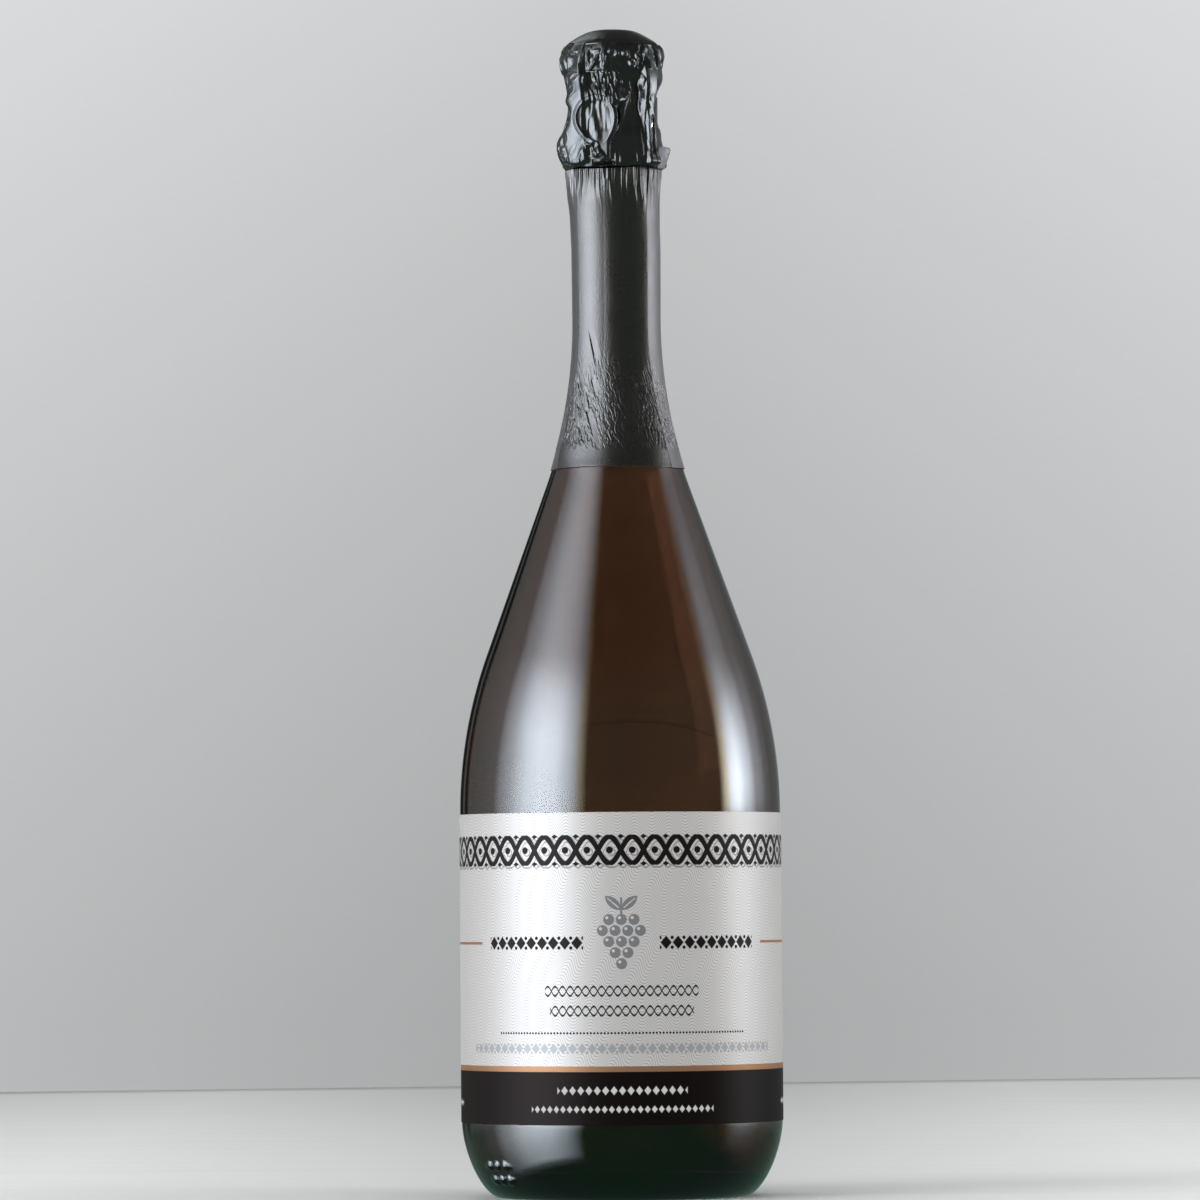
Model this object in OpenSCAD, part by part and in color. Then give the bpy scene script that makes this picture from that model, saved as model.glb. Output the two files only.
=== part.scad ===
// Sparkling wine bottle with its label, neck foil, wired cork and folded wire loop.
// Millimetres. The axis of the bottle is Z, the table is z = 0 and the front faces -Y.
// The wire cage is one unbroken wire: crown, four twisted legs and the eyes that hold the belt.

/* [Glass] */
// Outside diameter of the straight body
body_diameter = 88.9; // [84:0.1:94]
// Height of the lip above the table
lip_height = 306; // [300:0.5:314]
// Height where the straight body ends and the shoulder begins
shoulder_height = 106; // [104:0.5:112]
// Radius of the shoulder curve, seen from the side
shoulder_radius = 130; // [115:1:140]
// Radius of the sweep from the shoulder into the neck
sweep_radius = 137; // [120:1:150]
// Lean of the shoulder away from upright, in degrees
shoulder_slope = 19.8; // [18.5:0.1:22]
// Outside diameter of the neck at its slimmest
neck_diameter = 23.7; // [23:0.1:24.6]
// Outside diameter of the neck just below the ring
throat_diameter = 24.3; // [23.8:0.1:24.8]
// Glass thickness of the body
wall = 4.4; // [3.9:0.1:4.6]
// Glass thickness of the neck
neck_wall = 3; // [2.8:0.1:3.2]
// Bore of the mouth, which holds the cork
mouth_bore = 17.6; // [17:0.1:18.2]
// Height of the rounded heel
heel_height = 20.4; // [14:0.2:20.6]
// Outside diameter of the flat ring that the bottle stands on
bearing_diameter = 69; // [64:0.5:72]
// Width of that flat ring
bearing_width = 3; // [2:0.1:4]
// Depth of the punt under the base
punt_depth = 32; // [24:0.5:36]
// Glass thickness at the top of the punt
punt_wall = 7; // [5:0.2:9]
// Lowest level of the inside floor
trough_height = 8.5; // [7:0.1:9.5]

/* [Ring and lip] */
// Outside diameter of the ring that the wire belt hooks under
ring_diameter = 25.8; // [25:0.1:26]
// Height of that ring
ring_height = 6; // [5:0.1:7]
// Distance from the lip down to the middle of the ring
ring_drop = 12; // [11:0.1:13]
// Outside diameter of the lip
lip_diameter = 23.8; // [23:0.1:24.4]
// Rounding of the lip's outer edge
lip_round = 1.2; // [0.8:0.1:1.6]

/* [Wine] */
// Height of the wine's surface above the table, which sets its volume
fill_height = 220.6; // [212:0.1:224]
// Clearance between wine and glass
wine_gap = 0.1; // [0.05:0.01:0.3]

/* [Label] */
// Height of the label's lower edge
label_foot = 20.8; // [20.6:0.1:24]
// Height of the label
label_height = 85; // [70:0.5:85]
// Height of the dark band along its foot
label_band = 14.7; // [10:0.1:18]
// Height of the copper line above the band
label_line = 1.5; // [1:0.1:3]
// How far it wraps round the bottle, in degrees
label_wrap = 220; // [190:1:240]
// Thickness of the label
label_thickness = 0.15; // [0.1:0.01:0.2]

/* [Cork] */
// Diameter of the cork's head
cork_head_diameter = 25.8; // [25:0.1:26]
// Height of the head above the lip
cork_head_height = 16.6; // [15.5:0.1:17]
// Length of cork inside the neck
cork_depth = 24; // [22:0.2:25.6]
// Thickness of each solid cork disc at its foot
cork_disc = 6; // [5:0.1:7]
// Clearance between cork and bore
cork_fit = 0.05; // [0.03:0.01:0.1]

/* [Wire cage] */
// Diameter of the wire
wire_diameter = 0.8; // [0.7:0.01:0.85]
// Thickness of the crown plate
plate_thickness = 0.25; // [0.2:0.01:0.3]
// Diameter of the crown, on the middle of its wire
crown_diameter = 18.4; // [17.6:0.1:19]
// Clearance of legs, eyes and belt to the ring and the cork's head when they lift
lift_gap = 0.2; // [0.15:0.01:0.3]
// Full turns of twist in each leg
leg_turns = 3; // [2:1:4]
// Distance from the middle of the glass ring down to the belt
belt_drop = 7.4; // [7:0.1:8]

/* [Twist loop] */
// Azimuth of the loop's hinge, where -90 is straight ahead, in degrees
loop_azimuth = -108; // [-112:1:-104]
// Width of the loop, on the middle of its wire
loop_width = 11.8; // [10.5:0.1:12.4]
// Height of the loop, on the middle of its wire
loop_height = 13.2; // [12:0.1:14]
// Lean of the loop to the side, in degrees
loop_lean = 16; // [10:1:18]
// Length of the twisted stem below the loop
stem_length = 4.4; // [4:0.1:5]
// Full turns of twist in the stem
stem_turns = 2; // [1:1:2]
// Side shift of the stem from the middle of the hinge
stem_shift = 1.2; // [0.6:0.1:1.6]

/* [Foil] */
// Thickness of the foil
foil = 0.2; // [0.15:0.01:0.25]
// Clearance between the foil and the glass
skin_gap = 0.1; // [0.05:0.01:0.15]
// Clearance between the foil and the wires
wire_gap = 0.25; // [0.2:0.01:0.3]
// Length of the neck foil from the tear line down to its hem
skirt_length = 83.1; // [76:0.1:90]
// Length of the gathers below the tear line
gather_length = 22.5; // [16:0.1:28]
// Outside diameter of the foil at the tear line
tear_diameter = 27.6; // [27.2:0.1:28]
// Slack of the foil over the cork's head
head_slack = 1.3; // [1.1:0.05:1.4]
// Slack of the foil over the lip
waist_slack = 0.7; // [0.6:0.05:0.9]
// Depth of the pleats round the head
pleat_depth = 0.16; // [0:0.01:0.2]
// Height of the domed top disc
dome_height = 4.85; // [4.6:0.05:5.2]

/* [Tear tab] */
// Azimuth of the tab, where -90 is straight ahead, in degrees
tab_azimuth = -24; // [-30:1:-14]
// Lean of the tab away from the hood, in degrees
tab_lean = 12; // [8:1:30]
// Width of the tab
tab_width = 7.4; // [5:0.1:8]
// Height of the tab
tab_height = 6.2; // [5:0.1:8]

/* [Hidden] */
$fn = 96;
overrun = 1;

// Glass: the outline follows from its arcs and the straight slope between them
body_r = body_diameter / 2;
neck_r = neck_diameter / 2;
throat_r = throat_diameter / 2;
bend_depth = (shoulder_radius + sweep_radius) * (1 - cos(shoulder_slope));
slope_length = (body_r - neck_r - bend_depth) / sin(shoulder_slope);
slope_top_r = body_r - shoulder_radius * (1 - cos(shoulder_slope));
slope_foot_z = shoulder_height + shoulder_radius * sin(shoulder_slope);
slope_top_z = slope_foot_z + slope_length * cos(shoulder_slope);
neck_foot_z = slope_top_z + sweep_radius * sin(shoulder_slope);
ring_z = lip_height - ring_drop;
ring_r = ring_diameter / 2;
ring_foot_z = ring_z - ring_height / 2;
lip_r = lip_diameter / 2;
bore_r = mouth_bore / 2;
bore_edge = 0.4;
bore_foot_z = lip_height - cork_depth - bore_r / 4;
heel_fullness = 1.6;
bearing_r = bearing_diameter / 2;
bearing_inner_r = bearing_r - bearing_width;
trough_r = bearing_r - bearing_width / 3;

function steps(a, b, n) = [for (i = [0:n]) a + (b - a) * i / n];
function mix(a, b, t) = a + (b - a) * t;

// How far an arc has left its tangent after a run along that tangent
function arc_drop(radius, run) = radius - sqrt(pow(radius, 2) - pow(run, 2));
// Outside radius of the glass at a height, from the body to the throat
function glass_r(z) =
    z < shoulder_height ? body_r :
    z < slope_foot_z ? body_r - arc_drop(shoulder_radius, z - shoulder_height) :
    z < slope_top_z ? slope_top_r - (z - slope_foot_z) * tan(shoulder_slope) :
    z < neck_foot_z ? neck_r + arc_drop(sweep_radius, neck_foot_z - z) :
    mix(neck_r, throat_r, (z - neck_foot_z) / (ring_foot_z - neck_foot_z));

// Radius of the cavity: the wall thins steadily from the body to the neck, and ends in the bore
function cavity_r(z) =
    z < neck_foot_z
        ? glass_r(z) - mix(wall, neck_wall, max(0, z - shoulder_height) / (neck_foot_z - shoulder_height))
        : mix(neck_r - neck_wall, bore_r, min(1, (z - neck_foot_z) / (bore_foot_z - neck_foot_z)));

// A quarter of a full-bellied heel, from its foot out to the wall
function heel_line(foot_r, foot_z, wall_r, wall_z) = [for (a = [0:7.5:90])
    [mix(foot_r, wall_r, pow(sin(a), 2 / heel_fullness)),
     mix(wall_z, foot_z, pow(cos(a), 2 / heel_fullness))]];

// The bell of the punt, from the middle outwards
function bell_line(r, foot_z, top_z) = [for (t = steps(0, 1, 12))
    [r * t, mix(foot_z, top_z, (1 + cos(180 * t)) / 2)]];

wall_heights = concat(steps(shoulder_height, slope_foot_z, 9), steps(slope_top_z, neck_foot_z, 10));
function ring_line() = [for (a = [-90:15:90])
    let (t = (1 + sin(a)) / 2)
    [mix(mix(throat_r, lip_r, t), ring_r, cos(a)), ring_z + ring_height / 2 * sin(a)]];
function lip_line() = [for (a = [0:15:90])
    [lip_r - lip_round * (1 - cos(a)), lip_height - lip_round * (1 - sin(a))]];

function outside_line() = concat(
    heel_line(bearing_r, 0, body_r, heel_height),
    [for (z = wall_heights) [glass_r(z), z]],
    ring_line(),
    lip_line(),
    [[bore_r + bore_edge, lip_height], [bore_r, lip_height - bore_edge]]);

// The cavity from the middle of its floor up to the bore, drawn in by a clearance
function inner_heel_line(gap) =
    heel_line(trough_r, trough_height + gap, body_r - wall - gap, heel_height + wall);
function cavity_line(gap) = concat(
    bell_line(trough_r, trough_height + gap, punt_depth + punt_wall + gap),
    [for (p = inner_heel_line(gap)) if (p[0] > trough_r) p],
    [for (z = wall_heights) [cavity_r(z) - gap, z]],
    [[bore_r - gap, bore_foot_z]]);

function reversed(list) = [for (i = [len(list) - 1:-1:0]) list[i]];

// Wine: the cavity's outline up to the fill height, and its volume in millilitres, frustum by frustum
cubic_mm_per_ml = 1000;
bell_points = len(bell_line(1, 0, 1));
wine_line = let (line = cavity_line(wine_gap)) concat(
    [for (i = [0:len(line) - 1]) if (i < bell_points || line[i][1] < fill_height) line[i]],
    [[cavity_r(fill_height) - wine_gap, fill_height]]);
function frustum(a, b) = PI / 3 * (b[1] - a[1]) * (a[0] * a[0] + a[0] * b[0] + b[0] * b[0]);
function total(list, i = 0) = i == len(list) ? 0 : list[i] + total(list, i + 1);
wine_volume = total([for (i = [1:len(wine_line) - 1]) frustum(wine_line[i - 1], wine_line[i])])
    / cubic_mm_per_ml;

// Cork
cork_head_r = cork_head_diameter / 2;
cork_r = bore_r - cork_fit;
cork_foot_z = lip_height - cork_depth;
// Head of the cork below the crown plate, and under it: radius and height as shares of the head
cork_side_shares = [[0.79, 0.036], [0.9, 0.11], [0.97, 0.22], [1, 0.35], [1, 0.43], [0.988, 0.53],
    [0.961, 0.6], [0.93, 0.665]];
cork_top_shares = [[0.89, 0.71], [0.876, 0.747], [0.853, 0.775], [0.79, 0.826], [0.713, 0.868],
    [0.636, 0.898], [0.504, 0.958], [0.31, 0.99], [0, 1]];
function on_head(shares) = [for (s = shares) [cork_head_r * s[0], lip_height + cork_head_height * s[1]]];

// Crown plate: it follows the top of the cork
plate_seat = 0.05;
function plate_line(lift) = [for (p = on_head(cork_top_shares))
    [p[0] + (p[0] > 0 ? lift : 0), p[1] + lift]];

// Wire cage
wire_r = wire_diameter / 2;
pair_r = wire_r * 1.05;
crown_r = crown_diameter / 2;
crown_z = lip_height + cork_head_height * 0.885 + plate_seat + plate_thickness + wire_r * 1.1;
leg_r = max(ring_r, cork_head_r) + lift_gap + pair_r + wire_r;
leg_top_z = lip_height + cork_head_height * 0.42;
belt_z = ring_z - belt_drop;
eye_r = wire_diameter + lift_gap / 2;
eye_belt_r = max(ring_r, cork_head_r) + lift_gap + wire_r + eye_r;
belt_r = max(ring_r, cork_head_r) + lift_gap + wire_r;
leg_foot_z = belt_z + eye_r * 3.6;
leg_azimuths = [45, 135, 225, 315];
leg_steps = 8;
wire_sides = 6;

function polar(r, azimuth, z) = [r * cos(azimuth), r * sin(azimuth), z];
function bezier(a, b, c, t) = a * pow(1 - t, 2) + b * 2 * t * (1 - t) + c * pow(t, 2);
// Middle line of a leg over the edge of the crown plate, as radius and height
leg_start = [crown_r + wire_diameter, crown_z - wire_r * 0.85];
leg_corner = [leg_r - wire_r, crown_z - wire_diameter * 2.95];
function leg_bend(t) = bezier(leg_start, leg_corner, [leg_r, leg_top_z], t);

// One strand of a leg from the crown down to the eye. side is 1 or -1
function strand(azimuth, side) = concat(
    [for (t = steps(0, 1, 6)) let (p = leg_bend(t))
        polar(p[0], azimuth, p[1]) + side * pair_r * [-sin(azimuth), cos(azimuth), 0]],
    [for (i = [1:leg_turns * leg_steps + leg_steps / 4])
        let (a = 360 / leg_steps * i, t = i / (leg_turns * leg_steps + leg_steps / 4))
        polar(leg_r + side * pair_r * sin(a), azimuth, mix(leg_top_z, leg_foot_z, t))
        + side * pair_r * cos(a) * [-sin(azimuth), cos(azimuth), 0]]);
// The eye, round the belt, from its inner side under the belt to its outer side
function eye(azimuth) = [for (a = [170:30:380])
    polar(eye_belt_r + eye_r * cos(a), azimuth, belt_z + eye_r * sin(a))];
// Crown wire from one leg to the next, with the bends at its ends
crown_bend = asin(wire_diameter * 1.5 / crown_r);
function crown_arc(azimuth) = [for (a = steps(azimuth + crown_bend, azimuth + 90 - crown_bend, 9))
    polar(crown_r, a, crown_z)];
function leg_wire(azimuth) = concat(strand(azimuth, -1), eye(azimuth), reversed(strand(azimuth, 1)));
cage_path = [for (azimuth = leg_azimuths) for (p = concat(leg_wire(azimuth), crown_arc(azimuth))) p];

// Belt: drawn in between the eyes, and open where the twisted stem leaves it
function belt_radius(azimuth) = belt_r + (eye_belt_r - belt_r) * pow(max(0, cos(4 * (azimuth - 45))), 4);

// Tubes swept along a path
function unit(v) = v / norm(v);
function along(path, closed) = let (n = len(path)) [for (i = [0:n - 1])
    unit(closed ? path[(i + 1) % n] - path[(i + n - 1) % n] : path[min(n - 1, i + 1)] - path[max(0, i - 1)])];
function square_to(v, tangent) = unit(v - (v * tangent) * tangent);
function start_square(t) = square_to(abs(t[2]) < 0.9 ? [0, 0, 1] : [1, 0, 0], t);
function carried(tangents) = [for (i = 0, v = start_square(tangents[0]); i < len(tangents);
    i = i + 1, v = i < len(tangents) ? square_to(v, tangents[i]) : v) v];
// The turn by which a frame carried once round a closed path misses its start
function turn_left(squares, tangent) =
    let (last = square_to(squares[len(squares) - 1], tangent))
    atan2(cross(squares[0], last) * tangent, squares[0] * last);

module tube(path, radius, sides, closed = false) {
    tangents = along(path, closed);
    squares = carried(tangents);
    slip = closed ? turn_left(squares, tangents[0]) : 0;
    n = len(path);
    points = [for (i = [0:n - 1]) let (across = cross(tangents[i], squares[i]))
        for (k = [0:sides - 1]) let (a = 360 / sides * k - slip * i / n)
            path[i] + radius * (squares[i] * cos(a) + across * sin(a))];
    walls = [for (i = [0:n - (closed ? 1 : 2)]) for (k = [0:sides - 1])
        let (a = i * sides + k, b = i * sides + (k + 1) % sides,
             c = (i + 1) % n * sides + k, d = (i + 1) % n * sides + (k + 1) % sides)
        for (f = [[a, c, b], [b, c, d]]) f];
    caps = closed ? [] : [for (k = [1:sides - 2]) for (f = [[0, k, k + 1],
        [(n - 1) * sides, (n - 1) * sides + k + 1, (n - 1) * sides + k]]) f];
    polyhedron(points, concat(walls, caps));
}

// Twist loop, in the frame of its hinge: x along the hinge, y up, z outwards from the axis of the bottle
hinge_reach = sqrt(pow(belt_r, 2) - pow(stem_shift, 2));
loop_reach = belt_r + wire_diameter * 1.1;
loop_point = 0.5;
bar_swell = 0.02;
bar_length = wire_diameter * 4;
tip = [stem_shift, stem_length];
loop_centre = tip + loop_height / 2 * [-sin(loop_lean), cos(loop_lean)];
// A point on the egg-shaped loop, grown all round by a margin. Its tip is at 0 degrees
function egg(a, margin) =
    let (x = -(loop_width / 2 + margin) * sin(a) * pow(abs(sin(a / 2)), loop_point) * 1.1,
         y = -(loop_height / 2 + margin) * cos(a))
    loop_centre + [x * cos(loop_lean) - y * sin(loop_lean), x * sin(loop_lean) + y * cos(loop_lean)];
stem_steps = stem_turns * 8;
function stem_strand(side) = [for (i = [0:stem_steps])
    let (a = 180 / 4 * i, t = i / stem_steps)
    [stem_shift + side * pair_r * cos(a), mix(pair_r, stem_length - pair_r, t),
     mix(hinge_reach, loop_reach - wire_r * 0.7, t) + side * pair_r * sin(a)]];
loop_path = concat(
    [for (x = [bar_length / 2, pair_r * 2]) [stem_shift - x, 0, hinge_reach]],
    stem_strand(-1),
    [for (a = [36:12:324]) let (p = egg(a, 0)) [p[0], p[1], loop_reach]],
    reversed(stem_strand(1)),
    [for (x = [pair_r * 2, bar_length / 2]) [stem_shift + x, 0, hinge_reach]]);
belt_gap = asin((bar_length / 2 + wire_gap) / belt_r);
stem_azimuth = loop_azimuth + asin(stem_shift / belt_r);
belt_path = [for (a = steps(stem_azimuth + belt_gap, stem_azimuth + 360 - belt_gap, 68))
    polar(belt_radius(a), a, belt_z)];

// Foil hood: radius at an azimuth and a height
tear_gap = 0.3;
tear_z = belt_z - eye_r - wire_r - wire_diameter;
hood_foot_z = tear_z + tear_gap;
hood_belt_r = belt_r + wire_r + wire_gap + foil;
hood_eye_r = eye_belt_r + eye_r + wire_r + wire_gap + foil;
hood_leg_r = leg_r + pair_r + wire_r + wire_gap + foil;
hood_head_r = cork_head_r + head_slack;
hood_waist_r = lip_r + waist_slack;
dome_r = hood_head_r - foil * 4.5;
hood_rim_z = crown_z - dome_height / 2;
hood_line = [
    [hood_foot_z, tear_diameter / 2 + foil],
    [belt_z - wire_r, hood_belt_r],
    [belt_z + wire_diameter, hood_belt_r],
    [ring_z, ring_r + head_slack * 0.7],
    [mix(ring_z, lip_height, 0.45), hood_waist_r + foil * 1.5],
    [lip_height, hood_waist_r],
    [mix(lip_height, hood_rim_z, 0.25), mix(hood_waist_r, hood_head_r, 0.5)],
    [mix(lip_height, hood_rim_z, 0.5), hood_head_r - foil],
    [mix(lip_height, hood_rim_z, 0.8), hood_head_r],
    [hood_rim_z, dome_r + foil]];
ridge_line = [
    [hood_foot_z, hood_eye_r - foil * 2],
    [belt_z - wire_r, hood_eye_r],
    [belt_z + eye_r, hood_eye_r],
    [leg_foot_z, hood_leg_r],
    [leg_top_z, hood_leg_r],
    [mix(leg_top_z, hood_rim_z, 0.5), mix(hood_leg_r, hood_head_r, 0.4)],
    [mix(leg_top_z, hood_rim_z, 0.8), hood_head_r - foil],
    [hood_rim_z, dome_r + foil]];
hood_heights = concat(
    [hood_foot_z, belt_z - wire_r, belt_z + wire_diameter],
    steps(mix(belt_z, ring_z, 0.45), lip_height, 6),
    steps(mix(lip_height, hood_rim_z, 0.15), mix(lip_height, hood_rim_z, 0.9), 6),
    [hood_rim_z]);
hood_columns = 72;
function smooth(t) = let (u = min(1, max(0, t))) u * u * (3 - 2 * u);
function from_leg(azimuth) = abs((azimuth + 360) % 90 - 45);
function ridge_share(azimuth) = smooth((12 - from_leg(azimuth)) / 6.5);
function pleats(azimuth, z) = pleat_depth * (sin(11 * azimuth + 40) + 0.7 * sin(17 * azimuth - 25))
    * smooth((z - lip_height) / (hood_rim_z - lip_height) * 3) * smooth((hood_rim_z - z) / wire_diameter);
// The foil stands off towards the flat loop: full at the loop's edge, and gone at 1.6 times its size
cap_reach = loop_reach + wire_r + wire_gap + foil;
cap_margin = wire_r + wire_gap + foil;
function tent_share(across, z) =
    let (p = [across, z - belt_z] - loop_centre,
         away = norm([p[0] / (loop_width / 2 + cap_margin), p[1] / (loop_height / 2 + cap_margin)]))
    smooth((1.6 - away) / 0.45);
function hood_r(azimuth, z) =
    let (flat = lookup(z, hood_line),
         plain = mix(flat, lookup(z, ridge_line), ridge_share(azimuth)) + pleats(azimuth, z),
         off = (azimuth - loop_azimuth + 540) % 360 - 180,
         front = abs(off) < 60,
         plane = front ? (cap_reach - foil) / cos(off) : plain,
         share = front ? tent_share(cap_reach * tan(off), z) : 0)
    max(plain, mix(plain, plane, share));

module hood_skin() {
    rows = len(hood_heights);
    function at(row, column, inward) =
        let (a = 360 / hood_columns * column, z = hood_heights[row])
        polar(hood_r(a, z) - inward, a, z);
    points = concat(
        [for (row = [0:rows - 1]) for (c = [0:hood_columns - 1]) at(row, c, 0)],
        [for (row = [0:rows - 1]) for (c = [0:hood_columns - 1]) at(row, c, foil)]);
    inner = rows * hood_columns;
    faces = [for (c = [0:hood_columns - 1]) let (d = (c + 1) % hood_columns) each concat(
        [for (row = [0:rows - 2]) let (p = row * hood_columns, q = p + hood_columns) each [
            [p + c, q + c, p + d], [p + d, q + c, q + d],
            [inner + p + c, inner + p + d, inner + q + c], [inner + p + d, inner + q + d, inner + q + c]]],
        [[c, d, inner + c], [d, inner + d, inner + c]],
        let (p = (rows - 1) * hood_columns)
        [[p + c, inner + p + c, p + d], [p + d, inner + p + c, inner + p + d]])];
    polyhedron(points, faces);
}

// Places a shape drawn in the frame of the hinge
module on_hinge() {
    rotate([0, 0, loop_azimuth + 90]) translate([0, 0, belt_z]) rotate([90, 0, 0]) children();
}
// Outline of the foil over loop and stem, grown by a margin
tail_reach = bar_length / 2 - wire_r;
module cap_outline(margin) {
    polygon([for (a = [0:10:350]) egg(a, margin)]);
    translate([stem_shift - tail_reach - margin, -wire_r])
        square([(tail_reach + margin) * 2, stem_length + loop_height / 4]);
}
module cap_solid(margin, from, to) {
    translate([0, 0, from]) linear_extrude(to - from) cap_outline(margin);
}

module bottle_glass() {
    color("#2b2415") rotate_extrude() polygon(concat(
        outside_line(),
        reversed(cavity_line(0)),
        bell_line(bearing_inner_r, 0, punt_depth)));
}

module wine() {
    color("#d9c46a") rotate_extrude() polygon(concat(wine_line, [[0, fill_height]]));
}

module label_strip(foot, height) {
    rotate([0, 0, -90 - label_wrap / 2]) rotate_extrude(angle = label_wrap)
        translate([body_r + skin_gap / 2, foot]) square([label_thickness, height]);
}
module wrap_label() {
    paper_foot = label_foot + label_band + label_line;
    color("#1c1718") label_strip(label_foot, label_band);
    color("#c98f62") label_strip(label_foot + label_band, label_line);
    color("#dcdadb") label_strip(paper_foot, label_foot + label_height - paper_foot);
}

// From the slim neck out to the tear line: height and radius as shares of that stretch
gather_shares = [[0, 0], [0.13, 0.12], [0.39, 0.25], [0.51, 0.38], [0.64, 0.62], [0.76, 0.7],
    [0.91, 0.87], [1, 1]];
module foil_skirt() {
    top_r = tear_diameter / 2 - foil;
    gather_z = tear_z - gather_length;
    foot_r = glass_r(gather_z) + skin_gap;
    line = concat(
        [for (z = steps(tear_z - skirt_length, gather_z, 16)) if (z < gather_z) [glass_r(z) + skin_gap, z]],
        [for (s = gather_shares) [mix(foot_r, top_r, s[1]), mix(gather_z, tear_z, s[0])]]);
    color("#26211f") rotate_extrude() polygon(concat(line, [for (p = reversed(line)) p + [foil, 0]]));
}

module cork_disc_at(place) {
    translate([0, 0, cork_foot_z + cork_disc * place]) cylinder(h = cork_disc, r = cork_r);
}
module cork_disc_lower() { color("#d8b283") cork_disc_at(0); }
module cork_disc_upper() { color("#cfa673") cork_disc_at(1); }
module cork_body() {
    shaft_foot_z = cork_foot_z + cork_disc * 2;
    shaft = [[0, shaft_foot_z], [cork_r, shaft_foot_z], [cork_r, lip_height + cork_fit * 2]];
    color("#c89a66") rotate_extrude() polygon(concat(
        shaft, on_head(cork_side_shares), on_head(cork_top_shares)));
}

module crown_plate() {
    color("#3a3d40") rotate_extrude() polygon(concat(
        plate_line(plate_seat), reversed(plate_line(plate_seat + plate_thickness))));
}

module cage_wire() { color("#9a9ca0") tube(cage_path, wire_r, wire_sides, closed = true); }
module belt_wire() { color("#86888c") tube(belt_path, wire_r, wire_sides); }

module twist_loop() {
    color("#a8aaae") on_hinge() {
        tube(loop_path, wire_r, wire_sides);
        for (side = [-1, 1]) translate([stem_shift + side * bar_length / 2, 0, hinge_reach])
            rotate([0, -side * 90, 0]) cylinder(h = bar_length / 4, r = wire_r + bar_swell);
    }
}

module foil_hood() {
    color("#1f1c1b") difference() {
        hood_skin();
        on_hinge() translate([0, -wire_diameter * 3, 0]) {
            translate([0, wire_diameter * 3, 0]) cap_solid(cap_margin + tear_gap, 0, cap_reach * 1.5);
            translate([stem_shift - tail_reach - cap_margin - tear_gap, 0, 0])
                cube([(tail_reach + cap_margin + tear_gap) * 2, wire_diameter * 4, cap_reach * 1.5]);
        }
    }
}

// The foil over the loop: a shallow cap with a raised rim over the wire and a pressed-in middle
dish_reach = loop_reach - wire_r + foil / 2;
dish_margin = -cap_margin * 1.7;
module dish_shape(margin) { polygon([for (a = [0:10:350]) egg(a, dish_margin + margin)]); }
module foil_loop_patch() {
    color("#34302e") on_hinge() {
        difference() {
            cap_solid(cap_margin, loop_reach - wire_gap, cap_reach);
            cap_solid(cap_margin - foil, loop_reach - wire_gap - overrun, cap_reach - foil);
            translate([0, 0, dish_reach]) linear_extrude(cap_reach) dish_shape(0);
        }
        difference() {
            translate([0, 0, dish_reach]) linear_extrude(cap_reach - dish_reach) dish_shape(0);
            translate([0, 0, dish_reach + foil]) linear_extrude(cap_reach) dish_shape(-foil);
        }
    }
}

dome_shares = [[0, 1], [0.3, 0.97], [0.54, 0.86], [0.7, 0.65], [0.84, 0.42], [0.945, 0.2], [1, 0]];
module foil_top_disc() {
    foot_z = hood_rim_z + foil;
    outer = [for (s = dome_shares) [dome_r * s[0], foot_z + dome_height * s[1]]];
    inner = [for (s = dome_shares) [(dome_r - foil) * s[0], foot_z + dome_height * s[1] - foil]];
    color("#2a2624") rotate_extrude() polygon(concat(outer, reversed(inner)));
}

// Tear tab: it leans out from the tear line at the right of the hood
tab_root_r = tear_diameter / 2 + foil * 3.5;
tab_shares = [[-0.27, 0], [0.27, 0], [0.42, 0.5], [0.5, 0.88], [0.42, 1], [-0.36, 1], [-0.48, 0.9],
    [-0.42, 0.5]];
module foil_tear_tab() {
    color("#8a8280") rotate([0, 0, tab_azimuth + 90]) translate([0, -tab_root_r, hood_foot_z])
        rotate([90 + tab_lean, 0, 0]) linear_extrude(foil)
            polygon([for (s = tab_shares) [tab_width * s[0], tab_height * s[1]]]);
}

echo(wine_volume = wine_volume);

bottle_glass();
wine();
wrap_label();
foil_skirt();
cork_body();
cork_disc_upper();
cork_disc_lower();
crown_plate();
cage_wire();
belt_wire();
twist_loop();
foil_hood();
foil_loop_patch();
foil_top_disc();
foil_tear_tab();
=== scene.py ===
"""Looks of the sparkling wine bottle: glass, wine, printed label, lacquered foil, cork and wire.

Lengths are in millimetres until a mesh is made. Azimuths are in degrees about the bottle's axis:
-90 is straight ahead, and 0 is to the right.
"""
import math

import bpy
import numpy as np
from mathutils import Matrix, Vector, noise


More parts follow.
